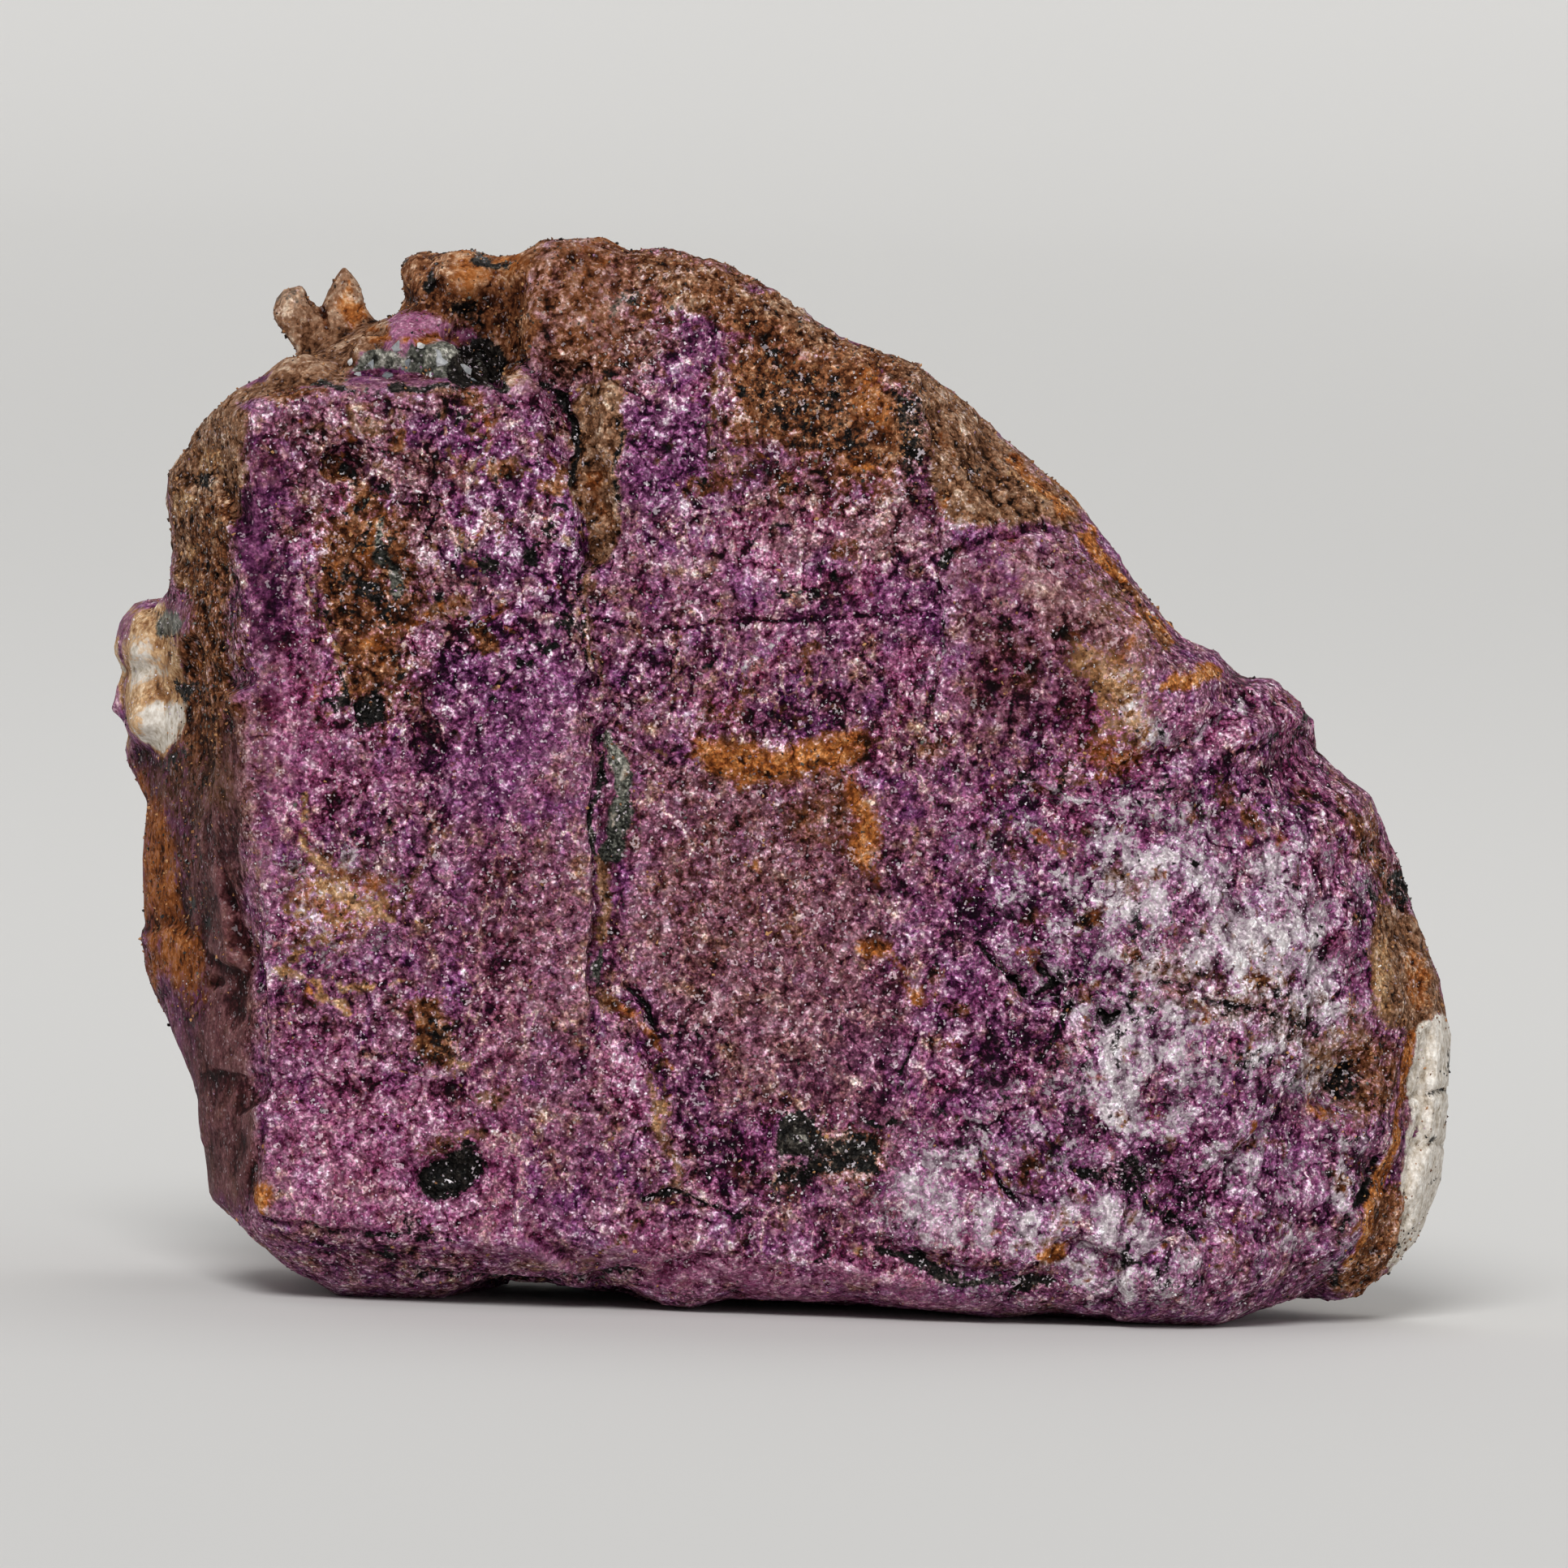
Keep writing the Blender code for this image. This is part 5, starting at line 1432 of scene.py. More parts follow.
@dataclass(frozen=True)
class GrainRelief:
    """How the grain lifts the skin. Sizes and heights are in millimetres."""

    hill_size: float = 2.6
    hill_height: float = 0.05
    block_size: float = 0.85
    block_spread: float = 0.05
    block_bevel: float = 0.3
    block_height: float = 0.06
    grain_size: float = 0.42
    grain_spread: float = 0.07
    grain_bevel: float = 0.4
    grain_height: float = 0.04
    fibre_size: float = 0.42
    fibre_stretch: float = 0.3
    fine_size: float = 0.27
    fibre_height: float = 0.03
    frost_size: float = 0.5
    frost_height: float = 0.12
    terrace_size: float = 4.5
    terrace_stretch: float = 0.55
    terrace_count: float = 3.0
    terrace_edge: float = 0.80
    terrace_height: float = 0.075
    dark_depth: float = 0.07
    oxide_depth: float = 0.05
    sunk: float = 0.08

    def height(self, places: np.ndarray, laid: dict[Paint, np.ndarray]) -> np.ndarray:
        """How far the grain lifts each vertex, in metres: most where it is crusted or mixed."""
        crust = laid[RUST] + laid[TAN] * 0.7 + laid[BLOOM] * 0.5 + laid[MIXED] * 0.35
        crust = np.clip(crust, 0.0, 1.0)
        quiet = 1.0 - 0.72 * np.clip(laid[CALM] + laid[CHALK] * 0.4, 0.0, 1.0)
        noise = StoneNoise(17)
        broad = noise.rough(places, self.hill_size * MILLIMETRE, 4)
        broad = broad * (self.hill_height * (1.0 + crust) + self.hill_height * laid[MIXED])
        inner, own = noise.crumbs(places, self.block_size * MILLIMETRE)
        blocks = (own - 0.5) * self.block_spread
        blocks = blocks + np.minimum(inner, self.block_bevel) * self.block_height
        edge, tone = StoneNoise(23).crumbs(places, self.grain_size * MILLIMETRE)
        grains = (tone - 0.5) * self.grain_spread
        grains = grains + np.minimum(edge, self.grain_bevel) * self.grain_height
        tall = places * np.array([1.0, 1.0, self.fibre_stretch])
        fibres = StoneNoise(29).smooth(tall, self.fibre_size * MILLIMETRE) * self.fibre_height
        fibres += StoneNoise(31).smooth(places, self.fine_size * MILLIMETRE) * self.fibre_height
        frost = np.maximum(StoneNoise(37).smooth(places, self.frost_size * MILLIMETRE), 0.0)
        frost = laid[BLOOM] * frost * self.frost_height
        low = places * np.array([1.0, 1.0, self.terrace_stretch])
        step = StoneNoise(41).rough(low, self.terrace_size * MILLIMETRE, 3) * self.terrace_count
        terraces = np.floor(step) + smooth_rise(step - np.floor(step), self.terrace_edge, 1.0)
        terraces = terraces * self.terrace_height
        lift = broad + blocks * (0.6 + 2.6 * crust) + grains * (0.7 + crust) + fibres + frost
        lift += terraces * (0.6 + 1.1 * laid[MIXED])
        dark = np.clip(laid[DARK] - 0.4, 0.0, 0.6) * self.dark_depth
        lift -= dark + laid[OXIDE] * self.oxide_depth
        return (lift - self.sunk) * quiet * MILLIMETRE


@dataclass
class StoneSkin:
    """The stone's fine skin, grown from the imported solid."""

    frame: PictureFrame
    marks: StoneMarks
    cuts: StoneCuts
    lowest: Vector
    highest: Vector
    voxel: float = 0.00017
    quick_voxel: float = 0.0004
    back_triangles: int = 46000
    front_triangles: int = 134000
    smoothing_rounds: int = 7
    foot_height: float = 0.00008
    margin: float = 0.00002
    relief: GrainRelief = GrainRelief()

    def build(self, finish: bpy.types.Material) -> bpy.types.Object:
        """Makes the skin and dresses it."""
        mesh = self.fine_copy()
        LOG.info("skin: %d vertices in the fine copy", len(mesh.vertices))
        self.smooth(mesh)
        self.press_relief(mesh)
        piece = link_mesh("stone_skin", mesh)
        piece.data = self.thinned(piece)
        self.set_places(piece.data, vertex_places(piece.data))
        self.paint(piece.data)
        piece.data.materials.append(finish)
        piece.data.shade_smooth()
        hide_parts(STONE_NODE)
        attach(piece, "root")
        LOG.info("stone_skin: %d triangles", len(piece.data.polygons))
        return piece

    def fine_copy(self) -> bpy.types.Mesh:
        """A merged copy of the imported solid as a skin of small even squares."""
        mesh = bpy.data.objects[STONE_NODE].data.copy()
        mesh.materials.clear()
        work = bmesh.new()
        work.from_mesh(mesh)
        bmesh.ops.remove_doubles(work, verts=work.verts, dist=0.000001)
        work.to_mesh(mesh)
        work.free()
        piece = link_mesh("stone_copy", mesh)
        remesh = piece.modifiers.new("skin", "REMESH")
        remesh.mode = "VOXEL"
        remesh.voxel_size = self.voxel
        fine = settle_order(applied(piece))
        bpy.data.objects.remove(piece)
        return fine

    def smooth(self, mesh: bpy.types.Mesh) -> None:
        """Softens the solid's flat triangles without shrinking the stone."""
        places = vertex_places(mesh)
        flat = places[:, 2] < self.foot_height
        level = places[:, 2].copy()
        ends = edge_ends(mesh)
        for _ in range(self.smoothing_rounds):
            for share in (0.6, -0.61):
                places = places + share * (neighbour_mean(places, ends) - places)
        places[flat, 2] = level[flat]
        self.set_places(mesh, places)

    def set_places(self, mesh: bpy.types.Mesh, places: np.ndarray) -> None:
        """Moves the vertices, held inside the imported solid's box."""
        low = np.array(self.lowest) + (self.margin, self.margin, 0.0)
        high = np.array(self.highest) - self.margin
        held = np.clip(places, low, high)
        mesh.vertices.foreach_set("co", held.astype(np.float32).ravel())
        mesh.update()

    def shaken(self, places: np.ndarray, broad: float, fine: float) -> np.ndarray:
        """Each vertex's (u, v), moved by up to broad and fine pixels, so marks don't look drawn."""
        moves = []
        for seed in (3, 5):
            noise = StoneNoise(seed)
            move = noise.smooth(places, 2.4 * MILLIMETRE) * broad
            move += noise.smooth(places + MILLIMETRE, 0.7 * MILLIMETRE) * fine
            moves.append(move)
        return self.frame.read(places)[:, :2] + np.column_stack(moves)

    def facing(self, normals: np.ndarray) -> np.ndarray:
        """1 where the stone faces the eye or nearly so, and 0 where it faces away."""
        forward = self.frame.axes()[2]
        return smooth_rise(-(normals @ forward), -0.42, -0.14)

    def cover(self, places: np.ndarray, normals: np.ndarray, strays: bool) -> dict[Paint, np.ndarray]:
        """Lays every mark on the side that the picture shows, and wild ones on the others.

        Args:
            places: One vertex a row.
            normals: The direction in which each vertex faces.
            strays: Whether the stray specks and threads are laid too.

        Returns:
            How thick each paint lies on each vertex, from 0 to 1.
        """
        fine = self.shaken(places, 9.0, 4.5)
        wild_where = self.shaken(places, 30.0, 14.0)
        shown = self.facing(normals)
        laid = {paint: np.zeros(len(places)) for paint in Paint}
        for mark in self.marks.every():
            found, share = mark.cover(fine, wild_where)
            laid[mark.paint][found] = np.maximum(laid[mark.paint][found], share)
        if strays:
            self.sprinkle(laid, places)
        hidden = np.flatnonzero(shown < 1.0)
        wild = self.wild(places[hidden], normals[hidden])
        for paint in Paint:
            laid[paint] = laid[paint] * shown
            laid[paint][hidden] += wild[paint] * (1.0 - shown[hidden])
        return laid

    def sprinkle(self, laid: dict[Paint, np.ndarray], places: np.ndarray) -> None:
        """Adds the stray specks and threads of crust that dot the face, most where it is mixed."""
        thick = 0.22 + 0.78 * laid[MIXED]
        thick = thick * (1.0 - 0.8 * np.clip(laid[CALM] + laid[CHALK], 0.0, 1.0))
        for number, speck in enumerate(SPECKS):
            share = speck.share(places, FIRST_SPECK_SEED + number) * thick
            laid[speck.paint] = np.maximum(laid[speck.paint], share)
        frost = np.clip(laid[BLOOM] * 3.0, 0.0, 1.0)
        hills = StoneNoise(214).rough(places * np.array([1.0, 1.0, 0.8]), 1.0 * MILLIMETRE, 4)
        laid[BLOOM] = np.clip(laid[BLOOM] + frost * (hills * 0.42 - 0.04), 0.0, 1.0)
        for number, thread in enumerate(THREADS):
            share = thread.share(places, FIRST_THREAD_SEED + number) * thick
            laid[thread.paint] = np.maximum(laid[thread.paint], share)

    def wild(self, places: np.ndarray, normals: np.ndarray) -> dict[Paint, np.ndarray]:
        """Tones and crusts for the sides that the picture doesn't show."""
        wild = {paint: np.zeros(len(places)) for paint in Paint}
        for number, drift in enumerate(HIDDEN_SIDES):
            wild[drift.paint] = drift.share(places, FIRST_HIDDEN_SEED + number)
        crown = smooth_rise(normals[:, 2], 0.35, 0.8)
        wild[TAN] = np.maximum(wild[TAN], crown * 0.75)
        wild[RUST] = np.maximum(wild[RUST], crown * wild[MAUVE] * 0.8)
        ridge = np.abs(StoneNoise(131).rough(places, 7.0 * MILLIMETRE, 3))
        wild[OXIDE] = np.maximum(wild[OXIDE], (1.0 - smooth_rise(ridge, 0.0, 0.05)) * 0.7)
        rim = smooth_rise(places[:, 0], 0.0268, 0.0290) * smooth_rise(-places[:, 2], -0.0185, -0.0160)
        rim = rim * (1.0 - smooth_rise(-places[:, 0] - 0.35 * places[:, 1], -0.0290, -0.0262))
        wild[CHALK] = rim
        for paint in (RUST, TAN, OXIDE, OCHRE, CREAM):
            wild[paint] = wild[paint] * (1.0 - 0.9 * rim)
        return wild

    def press_relief(self, mesh: bpy.types.Mesh) -> None:
        """Presses the cracks, ledges and grain into the skin."""
        places = vertex_places(mesh)
        normals = vertex_normals(mesh)
        laid = self.cover(places, normals, strays=False)
        shown = self.facing(normals)
        where = self.shaken(places, 8.0, 4.0)
        lowered = np.zeros(len(places))
        for cut in self.cuts.every():
            found, depth = cut.press(where)
            lowered[found] += depth
        height = -lowered * self.frame.pixel * shown
        height += self.relief.height(places, laid)
        flat = places[:, 2] < self.foot_height
        height[flat] = 0.0
        low_edge = smooth_rise(places[:, 2], 0.0, 0.0006)
        self.set_places(mesh, places + normals * (height * low_edge)[:, None])

    def thinned(self, piece: bpy.types.Object) -> bpy.types.Mesh:
        """The piece's mesh with fewer triangles: few on its back, and most of them on its front."""
        for goal, on_front in ((self.back_triangles, False), (self.front_triangles, True)):
            mesh = piece.data
            above = smooth_rise(vertex_places(mesh)[:, 2], 0.0, 0.001)
            front = self.facing(vertex_normals(mesh)) * above > 0.5
            chosen = front if on_front else ~front
            group = piece.vertex_groups.new(name="thin")
            group.add(np.flatnonzero(chosen).tolist(), 1.0, "REPLACE")
            corners = np.array([face.vertices[0] for face in mesh.polygons])
            each = 2 if len(mesh.polygons[0].vertices) == 4 else 1
            chosen_faces = np.count_nonzero(chosen[corners]) * each
            every = len(mesh.polygons) * each
            if chosen_faces > goal:
                thin = piece.modifiers.new("thin", "DECIMATE")
                thin.vertex_group = group.name
                thin.ratio = (every - chosen_faces + goal) / every
            split = piece.modifiers.new("triangles", "TRIANGULATE")
            split.min_vertices = 4
            thinner = applied(piece)
            piece.vertex_groups.clear()
            piece.data = thinner
            LOG.info("skin: thinned to %d triangles", len(thinner.polygons))
        return piece.data

    def paint(self, mesh: bpy.types.Mesh) -> None:
        """Stores every mark, how hollow each place is (for the painted shade of hollows), and how thick
        the loose grains lie.
        """
        places = vertex_places(mesh)
        ends = edge_ends(mesh)
        normals = vertex_normals(mesh)
        broad_normals = normals
        for _ in range(6):
            broad_normals = neighbour_mean(broad_normals, ends)
        laid = self.cover(places, broad_normals, strays=True)
        fine = self.hollow(places, normals, ends, 2, 0.00003)
        deep = self.hollow(places, normals, ends, 14, 0.00012)
        values = {paint.value: laid[paint] for paint in Paint}
        # How hollow each place is: the finish darkens hollows and lightens ridges with it, painted
        # shade and painted light.
        values["cavity"] = np.clip(fine * 0.5 + deep * 0.5, -1.0, 1.0)
        values.update(self.densities(places, laid))
        for name, numbers in values.items():
            attribute = mesh.attributes.new(name, "FLOAT", "POINT")
            attribute.data.foreach_set("value", numbers.astype(np.float32))

    def hollow(self, places: np.ndarray, normals: np.ndarray, ends: np.ndarray, rounds: int,
               depth: float) -> np.ndarray:
        """How far each place lies below its surroundings, 1 for depth metres."""
        around = places
        for _ in range(rounds):
            around = neighbour_mean(around, ends)
        return np.sum((around - places) * normals, axis=1) / depth

    def densities(self, places: np.ndarray, laid: dict[Paint, np.ndarray]) -> dict[str, np.ndarray]:
        """Loose grains of each kind to the square metre."""
        above = smooth_rise(places[:, 2], 0.0003, 0.0010)
        crust = np.clip(laid[RUST] + laid[TAN] + laid[OCHRE] * 0.5, 0.0, 1.0)
        bare = (1.0 - crust) * (1.0 - laid[CHALK]) * (1.0 - 0.8 * laid[CALM])
        return {
            "flake_density": above * bare * (0.4 + 0.6 * laid[LIGHT]),
            "oxide_density": above * np.clip(laid[OXIDE] + laid[RUST] * 0.3, 0.0, 1.0),
            "crumb_density": above * crust,
            "frost_density": above * np.clip(laid[BLOOM] * 1.0 + laid[CREAM] * 0.3, 0.0, 1.0),
        }


@dataclass
class GrainShape:
    """One kind of loose grain, about one millimetre across before it is scaled."""

    name: str
    corners: int
    flatness: float
    seed: int
    kinds: int = 4

    def build(self) -> bpy.types.Collection:
        """Makes the kinds of grain in a collection of their own that isn't in the scene."""
        shapes = bpy.data.collections.new(self.name)
        for kind in range(self.kinds):
            mesh = angular_grain(f"{self.name}_{kind}", self.corners, self.flatness, self.seed + kind)
            shapes.objects.link(bpy.data.objects.new(mesh.name, mesh))
        return shapes


def angular_grain(name: str, corners: int, flatness: float, seed: int) -> bpy.types.Mesh:
    """A grain with flat faces: the hull of a few seeded points on a squashed ball."""
    random = np.random.default_rng(seed)
    places = random.normal(size=(corners, 3))
    places = places / np.linalg.norm(places, axis=1)[:, None]
    places = places * random.uniform(0.75, 1.0, (corners, 1))
    places = places * np.array([0.5, 0.5 * random.uniform(0.6, 0.9), 0.5 * flatness])
    work = bmesh.new()
    for place in places:
        work.verts.new(place)
    hull = bmesh.ops.convex_hull(work, input=work.verts)
    spare = list(set(hull["geom_interior"] + hull["geom_unused"]))
    bmesh.ops.delete(work, geom=spare, context="VERTS")
    bmesh.ops.recalc_face_normals(work, faces=work.faces)
    mesh = bpy.data.meshes.new(name)
    work.to_mesh(mesh)
    work.free()
    return mesh


@dataclass
class LooseGrains:
    """Small grains that lie on the stone, spread by a Geometry Nodes tree."""

    name: str
    shape: GrainShape
    finish: GrainFinish
    density_name: str
    density: float
    smallest: float
    largest: float
    seed: int
    tilt: float = 3.1
    sink: float = 0.15

    def build(self, skin: bpy.types.Object,
              keep_in: Callable[[bpy.types.Mesh], None]) -> bpy.types.Object:
        """Spreads the grains over the skin.

        Args:
            skin: The stone's skin, which carries the density attribute.
            keep_in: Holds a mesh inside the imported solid's box.

        Returns:
            The grains as one plain mesh object.
        """
        material = self.finish.build()
        shapes = self.shape.build()
        carrier = link_mesh(self.name, skin.data.copy())
        carrier.data.materials.clear()
        modifier = carrier.modifiers.new("grains", "NODES")
        tree = self.tree()
        modifier.node_group = tree
        values = {
            "Grains": shapes, "Density": self.density, "Density Name": self.density_name,
            "Smallest": self.smallest, "Largest": self.largest, "Tilt": self.tilt, "Sink": self.sink,
            "Seed": self.seed, "Material": material,
        }
        for item in tree.interface.items_tree:
            if item.name in values:
                modifier[item.identifier] = values[item.name]
        mesh = applied(carrier)
        old = carrier.data
        carrier.data = mesh
        bpy.data.meshes.remove(old)
        bpy.data.node_groups.remove(tree)
        for shape in list(shapes.objects):
            bpy.data.objects.remove(shape)
        bpy.data.collections.remove(shapes)
        keep_in(mesh)
        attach(carrier, "root")
        LOG.info("%s: %d triangles", self.name, len(mesh.polygons))
        return carrier

    def tree(self) -> bpy.types.NodeTree:
        """Builds the tree: points by density, a turned and sized grain on each, made real."""
        tree = bpy.data.node_groups.new(self.name, "GeometryNodeTree")
        sockets = {
            "Geometry": "Geometry", "Grains": "Collection", "Density": "Float",
            "Density Name": "String", "Smallest": "Float", "Largest": "Float", "Tilt": "Float",
            "Sink": "Float", "Seed": "Int", "Material": "Material",
        }
        for name, kind in sockets.items():
            tree.interface.new_socket(name, in_out="INPUT", socket_type=f"NodeSocket{kind}")
        tree.interface.new_socket("Geometry", in_out="OUTPUT", socket_type="NodeSocketGeometry")

        def add(kind: str, settings: dict | None = None,
                sockets: dict | None = None) -> bpy.types.Node:
            """Adds a node with its settings, and the values or links of its sockets."""
            node = tree.nodes.new(kind)
            for key, value in (settings or {}).items():
                setattr(node, key, value)
            for key, value in (sockets or {}).items():
                if isinstance(value, bpy.types.NodeSocket):
                    tree.links.new(value, node.inputs[key])
                else:
                    node.inputs[key].default_value = value
            return node

        given = add("NodeGroupInput").outputs
        mask = add("GeometryNodeInputNamedAttribute", {"data_type": "FLOAT"},
                   {"Name": given["Density Name"]})
        thick = add("ShaderNodeMath", {"operation": "MULTIPLY"},
                    {0: mask.outputs[0], 1: given["Density"]})
        points = add("GeometryNodeDistributePointsOnFaces", None,
                     {"Mesh": given["Geometry"], "Density": thick.outputs[0], "Seed": given["Seed"]})
        shapes = add("GeometryNodeCollectionInfo", None, {
            "Collection": given["Grains"], "Separate Children": True, "Reset Children": True,
        })
        full = add("FunctionNodeRandomValue", {"data_type": "FLOAT_VECTOR"},
                   {0: (-1.0, -1.0, -math.pi), 1: (1.0, 1.0, math.pi), "Seed": given["Seed"]})
        lean = add("ShaderNodeCombineXYZ", None, {0: given["Tilt"], 1: given["Tilt"], 2: 1.0})
        leaned = add("ShaderNodeVectorMath", {"operation": "MULTIPLY"},
                     {0: full.outputs[0], 1: lean.outputs[0]})
        turned = add("FunctionNodeRotateRotation", {"rotation_space": "LOCAL"},
                     {0: points.outputs["Rotation"], 1: leaned.outputs[0]})
        even = add("FunctionNodeRandomValue", {"data_type": "FLOAT"}, {2: 0.0, 3: 1.0})
        squared = add("ShaderNodeMath", {"operation": "POWER"}, {0: even.outputs[1], 1: 2.2})
        span = add("ShaderNodeMath", {"operation": "SUBTRACT"},
                   {0: given["Largest"], 1: given["Smallest"]})
        size = add("ShaderNodeMath", {"operation": "MULTIPLY_ADD"},
                   {0: squared.outputs[0], 1: span.outputs[0], 2: given["Smallest"]})
        grains = add("GeometryNodeInstanceOnPoints", None, {
            "Points": points.outputs["Points"], "Instance": shapes.outputs[0], "Pick Instance": True,
            "Rotation": turned.outputs[0], "Scale": size.outputs[0],
        })
        down = add("ShaderNodeCombineXYZ", None, {2: given["Sink"]})
        sunk = add("GeometryNodeTranslateInstances", None, {
            "Instances": grains.outputs[0], "Translation": down.outputs[0], "Local Space": True,
        })
        tone = add("FunctionNodeRandomValue", {"data_type": "FLOAT"}, {2: 0.0, 3: 1.0, "Seed": 9})
        toned = add("GeometryNodeStoreNamedAttribute", {"data_type": "FLOAT", "domain": "INSTANCE"},
                    {"Geometry": sunk.outputs[0], "Name": "grain_tone", "Value": tone.outputs[1]})
        real = add("GeometryNodeRealizeInstances", None, {"Geometry": toned.outputs[0]})
        dressed = add("GeometryNodeSetMaterial", None,
                      {"Geometry": real.outputs[0], "Material": given["Material"]})
        add("NodeGroupOutput", None, {"Geometry": dressed.outputs[0]})
        return tree


@dataclass
class PlacedGrains:
    """Grains that are set one by one where the picture shows them."""

    name: str
    finish: GrainFinish
    seats: tuple[tuple[float, float, float], ...]
    seed: int
    corners: int = 16
    flatness: float = 0.8
    sink: float = 0.25

    def build(self, frame: PictureFrame, skin: bpy.types.Object,
              keep_in: Callable[[bpy.types.Mesh], None]) -> bpy.types.Object:
        """Sets a grain at each seat.

        Args:
            frame: The picture's frame, in which the seats are read as u, v and size in pixels.
            skin: The stone's skin, on which the grains sit.
            keep_in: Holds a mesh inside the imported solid's box.

        Returns:
            The grains as one mesh object.
        """
        tree = BVHTree.FromPolygons(
            vertex_places(skin.data).tolist(), [face.vertices[:] for face in skin.data.polygons]
        )
        random = np.random.default_rng(self.seed)
        joined = bmesh.new()
        tones = []
        for number, (u, v, size) in enumerate(self.seats):
            eye, aim = frame.ray(u, v)
            place, normal, _, _ = tree.ray_cast(eye, aim)
            if place is None:
                LOG.info("%s: no stone at %d, %d", self.name, u, v)
                continue
            name = f"{self.name}_{number}"
            grain = angular_grain(name, self.corners, self.flatness, self.seed + number)
            width = size * frame.pixel
            angle = random.uniform(0, math.tau)
            turn = Matrix.Rotation(angle, 4, Vector(random.normal(size=3)).normalized())
            seat = place - normal * width * self.sink
            grain.transform(Matrix.Translation(seat) @ turn @ Matrix.Scale(width, 4))
            tones.extend([random.uniform(0.2, 1.0)] * len(grain.vertices))
            joined.from_mesh(grain)
            bpy.data.meshes.remove(grain)
        mesh = bpy.data.meshes.new(self.name)
        joined.to_mesh(mesh)
        joined.free()
        attribute = mesh.attributes.new("grain_tone", "FLOAT", "POINT")
        attribute.data.foreach_set("value", np.array(tones, np.float32))
        mesh.materials.append(self.finish.build())
        keep_in(mesh)
        piece = link_mesh(self.name, mesh)
        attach(piece, "root")
        LOG.info("%s: %d grains, %d faces", self.name, len(self.seats), len(mesh.polygons))
        return piece


@dataclass
class Studio:
    """A plain pale sweep, soft lights and the picture's camera."""

    frame: PictureFrame
    floor_colour: tuple = (216, 215, 213)
    half_width: float = 3.5
    front: float = -3.5
    bend_start: float = 1.7
    bend_radius: float = 0.7
    height: float = 3.2
    bend_steps: int = 16
    sun_width: float = math.radians(22.0)

    def build(self) -> None:
        """Adds the floor, the lights, the world and the camera."""
        self.add_floor()
        middle = Vector((0.0, 0.0, 0.026))
        self.add_sun(Vector((-0.10, -0.80, 0.58)), 2.3)
        self.add_light("fill", middle + Vector((0.50, -0.50, 0.16)), middle, 0.35, 0.5)
        self.add_light("top", middle + Vector((0.10, 0.30, 0.60)), middle, 0.35, 0.6)
        self.add_world()
        self.frame.add_camera()
        bpy.context.scene.view_settings.view_transform = "Standard"

    def add_floor(self) -> None:
        """A floor that bends up into a wall behind the stone."""
        profile = [(self.front, 0.0), (self.bend_start, 0.0)]
        for step in range(1, self.bend_steps + 1):
            angle = math.pi / 2 * step / self.bend_steps
            profile.append((
                self.bend_start + self.bend_radius * math.sin(angle),
                self.bend_radius * (1.0 - math.cos(angle)),
            ))
        profile.append((profile[-1][0], self.height))
        places = [(side * self.half_width, y, z) for y, z in profile for side in (-1, 1)]
        faces = [(2 * n, 2 * n + 1, 2 * n + 3, 2 * n + 2) for n in range(len(profile) - 1)]
        mesh = bpy.data.meshes.new("floor")
        mesh.from_pydata(places, [], faces)
        mesh.shade_smooth()
        bench = Bench("floor")
        mesh.materials.append(bench.finish(shade(*self.floor_colour), 0.9, None))
        link_mesh("floor", mesh)

    def add_sun(self, place: Vector, power: float) -> None:
        """A soft sun that shines from that direction."""
        lamp = bpy.data.lights.new("sun", "SUN")
        lamp.angle = self.sun_width
        lamp.energy = power
        light = bpy.data.objects.new("sun", lamp)
        light.rotation_euler = (-place).to_track_quat("-Z", "Y").to_euler()
        bpy.context.scene.collection.objects.link(light)

    def add_light(self, name: str, place: Vector, target: Vector, size: float, power: float) -> None:
        """A soft square light that points at the target."""
        lamp = bpy.data.lights.new(name, "AREA")
        lamp.size = size
        lamp.energy = power
        light = bpy.data.objects.new(name, lamp)
        light.location = place
        light.rotation_euler = (target - place).to_track_quat("-Z", "Y").to_euler()
        bpy.context.scene.collection.objects.link(light)

    def add_world(self) -> None:
        """A pale even sky."""
        world = bpy.data.worlds.new("studio")
        world.use_nodes = True
        sky = world.node_tree.nodes["Background"]
        sky.inputs["Color"].default_value = (1.0, 1.0, 1.0, 1.0)
        sky.inputs["Strength"].default_value = 0.3
        bpy.context.scene.world = world


QUARTZ_SEATS = (
    (454, 450, 48), (438, 462, 30), (476, 462, 34), (502, 444, 52), (526, 462, 36), (548, 446, 50),
    (572, 456, 38), (558, 470, 28), (486, 432, 28), (518, 428, 26), (584, 468, 26), (432, 446, 22),
)
# Seats of white grains whose colour stands for glints: painted highlights.
PAINTED_GLINT_SEATS = (
    (421, 684, 10), (380, 703, 9), (498, 785, 10), (402, 565, 7), (308, 1330, 9), (306, 1342, 7),
    (796, 484, 11), (788, 480, 7), (700, 724, 8), (702, 718, 6), (975, 1030, 10), (982, 1026, 7),
    (1045, 497, 9), (1052, 502, 10), (1062, 502, 8), (998, 565, 9), (1112, 552, 9), (1116, 560, 7),
    (600, 392, 10), (594, 398, 7), (324, 782, 9), (532, 1033, 8), (455, 830, 8), (620, 590, 6),
    (741, 1186, 7), (740, 1200, 8), (743, 1212, 7), (710, 530, 7), (712, 542, 8), (756, 938, 7),
    (760, 985, 8), (755, 1012, 7), (763, 960, 7), (752, 1035, 7), (1286, 1243, 7), (560, 1436, 7),
    (574, 1452, 7), (548, 1456, 6), (985, 1385, 6), (1000, 1440, 7), (1196, 1430, 6), (1530, 1210, 9),
    (230, 1212, 8), (1020, 760, 6), (890, 815, 7), (640, 760, 6), (1120, 1480, 6), (1240, 1550, 7),
)


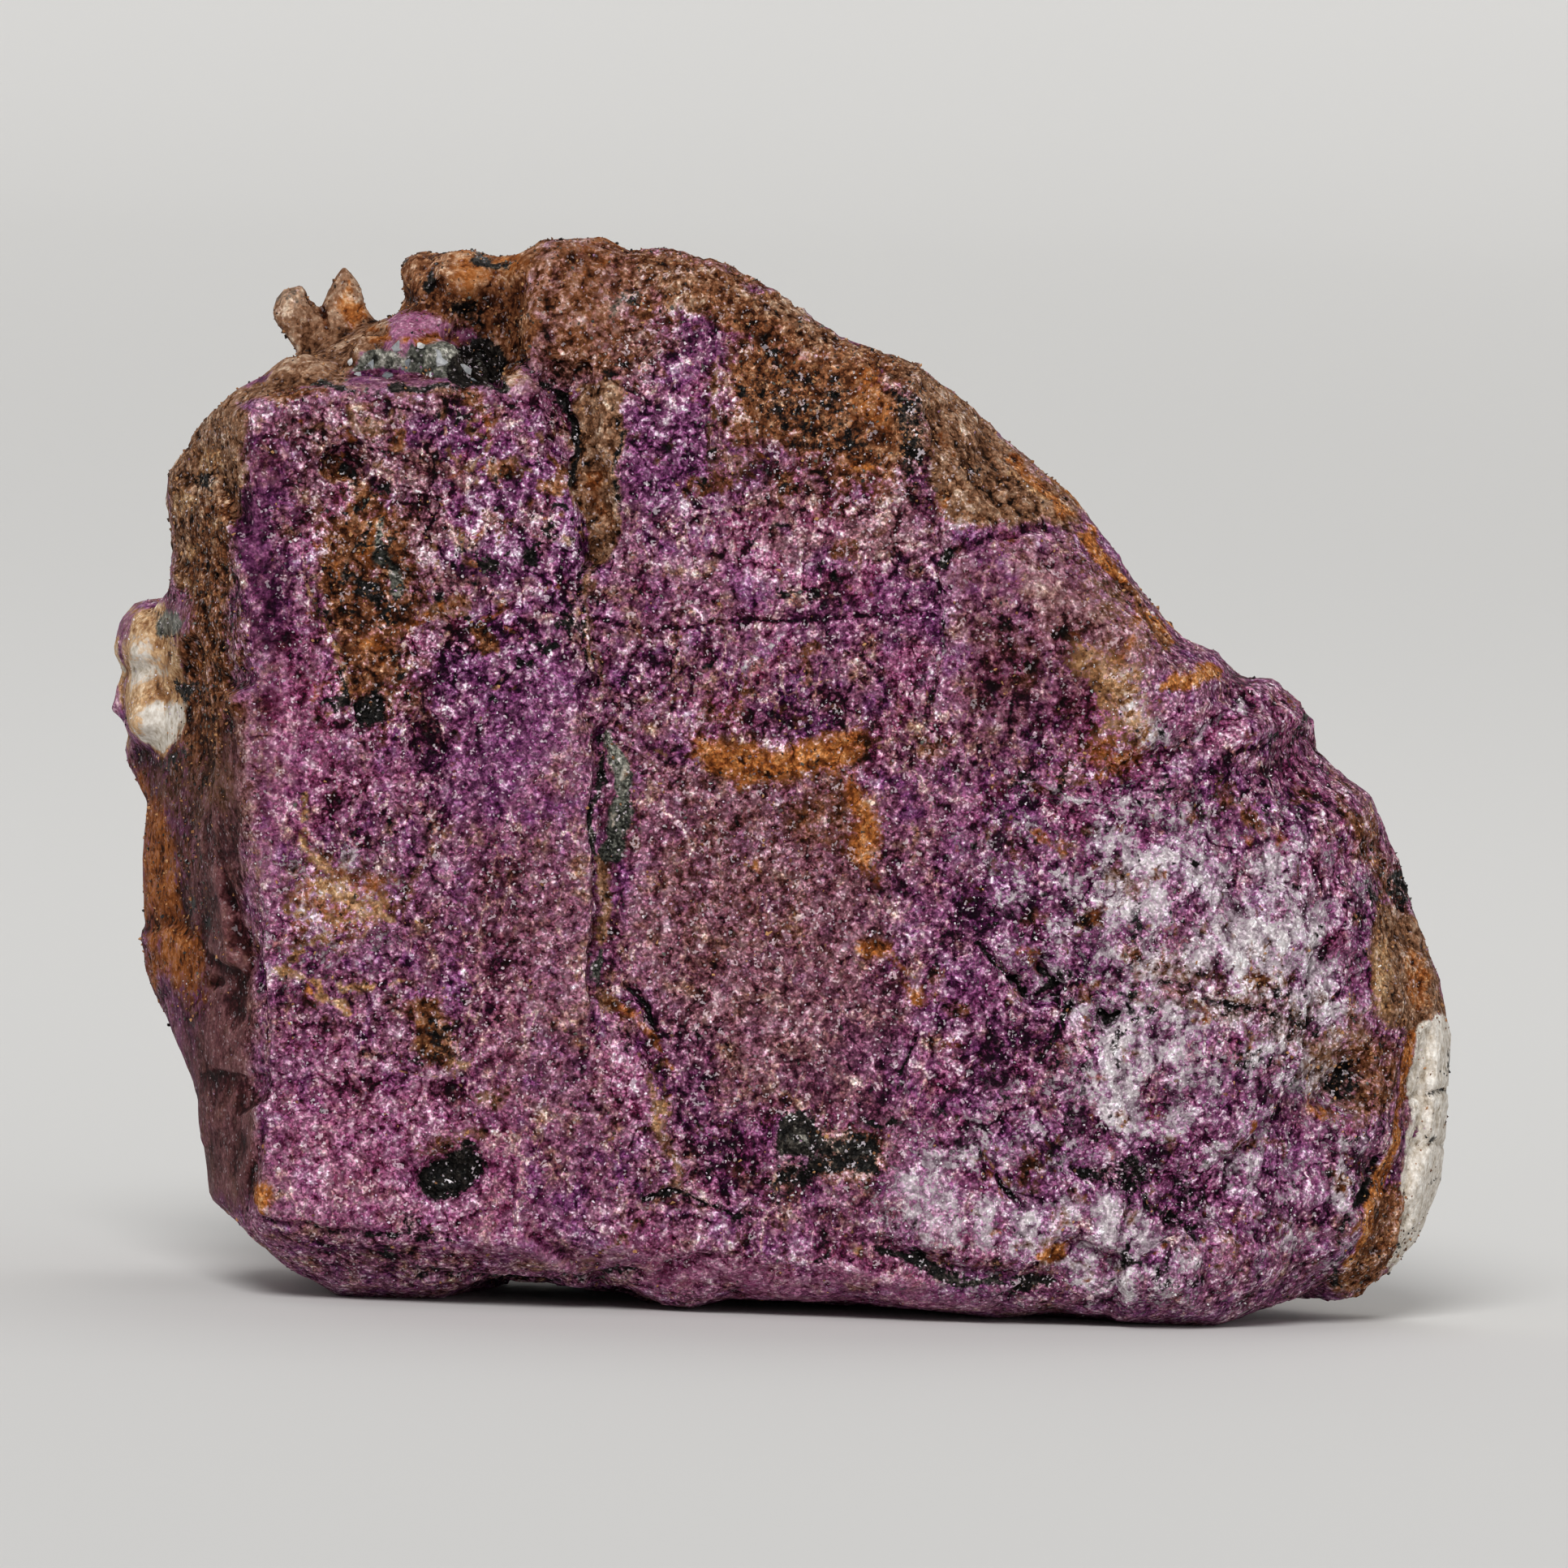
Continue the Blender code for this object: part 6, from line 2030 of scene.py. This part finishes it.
def main() -> None:
    """Builds the dressed specimen and its studio."""
    logging.basicConfig(level=logging.INFO, format="%(message)s")
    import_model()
    frame = PictureFrame()
    Studio(frame).build()
    lowest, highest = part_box(STONE_NODE)
    skin_maker = StoneSkin(frame, StoneMarks(), StoneCuts(), lowest, highest)
    skin = skin_maker.build(StoneFinish().build())

    def keep_in(mesh: bpy.types.Mesh) -> None:
        """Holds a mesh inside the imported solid's box."""
        skin_maker.set_places(mesh, vertex_places(mesh))

    lilac = stops((96, 60, 92), (140, 96, 130), (178, 140, 172), (226, 208, 222))
    black = stops((5, 4, 4), (18, 16, 14), (38, 36, 31), (92, 92, 84))
    brown = stops((46, 28, 18), (92, 58, 34), (138, 90, 52), (186, 138, 92))
    white = stops((150, 136, 146), (196, 186, 194), (226, 220, 222), (244, 240, 240))
    glass = stops((70, 74, 78), (120, 124, 128), (168, 170, 172), (214, 214, 212))
    loose = (
        LooseGrains("cleavage_flakes", GrainShape("flake", 9, 0.28, 300),
                    GrainFinish("cleavage_flake", lilac, 0.42), "flake_density", density=2.4e6,
                    smallest=0.00010, largest=0.00030, seed=11, tilt=0.5, sink=0.0),
        LooseGrains("oxide_grains", GrainShape("oxide", 10, 0.8, 320),
                    GrainFinish("oxide_grain", black, 0.3), "oxide_density", density=6.0e6,
                    smallest=0.00012, largest=0.00034, seed=12),
        LooseGrains("rust_crumbs", GrainShape("crumb", 10, 0.75, 340),
                    GrainFinish("rust_crumb", brown, 0.8), "crumb_density", density=3.6e6,
                    smallest=0.00012, largest=0.00036, seed=13),
        LooseGrains("frost_grains", GrainShape("frost", 9, 0.6, 360),
                    GrainFinish("frost_grain", white, 0.5), "frost_density", density=5.0e6,
                    smallest=0.00010, largest=0.00026, seed=14),
    )
    for grains in loose:
        grains.build(skin, keep_in)
    quartz = GrainFinish("quartz", glass, roughness=0.28, gloss_spread=0.1, fleck=0.25)
    # The glint finish: white grains that stand for glints, painted highlights.
    glint = GrainFinish("glint", white, roughness=0.2, gloss_spread=0.1)
    placed = (
        PlacedGrains("quartz_grains", quartz, QUARTZ_SEATS, seed=400),
        PlacedGrains("bright_glints", glint, PAINTED_GLINT_SEATS, seed=500, corners=9, flatness=0.5),
    )
    for grains in placed:
        grains.build(frame, skin, keep_in)


if __name__ == "__main__":
    main()
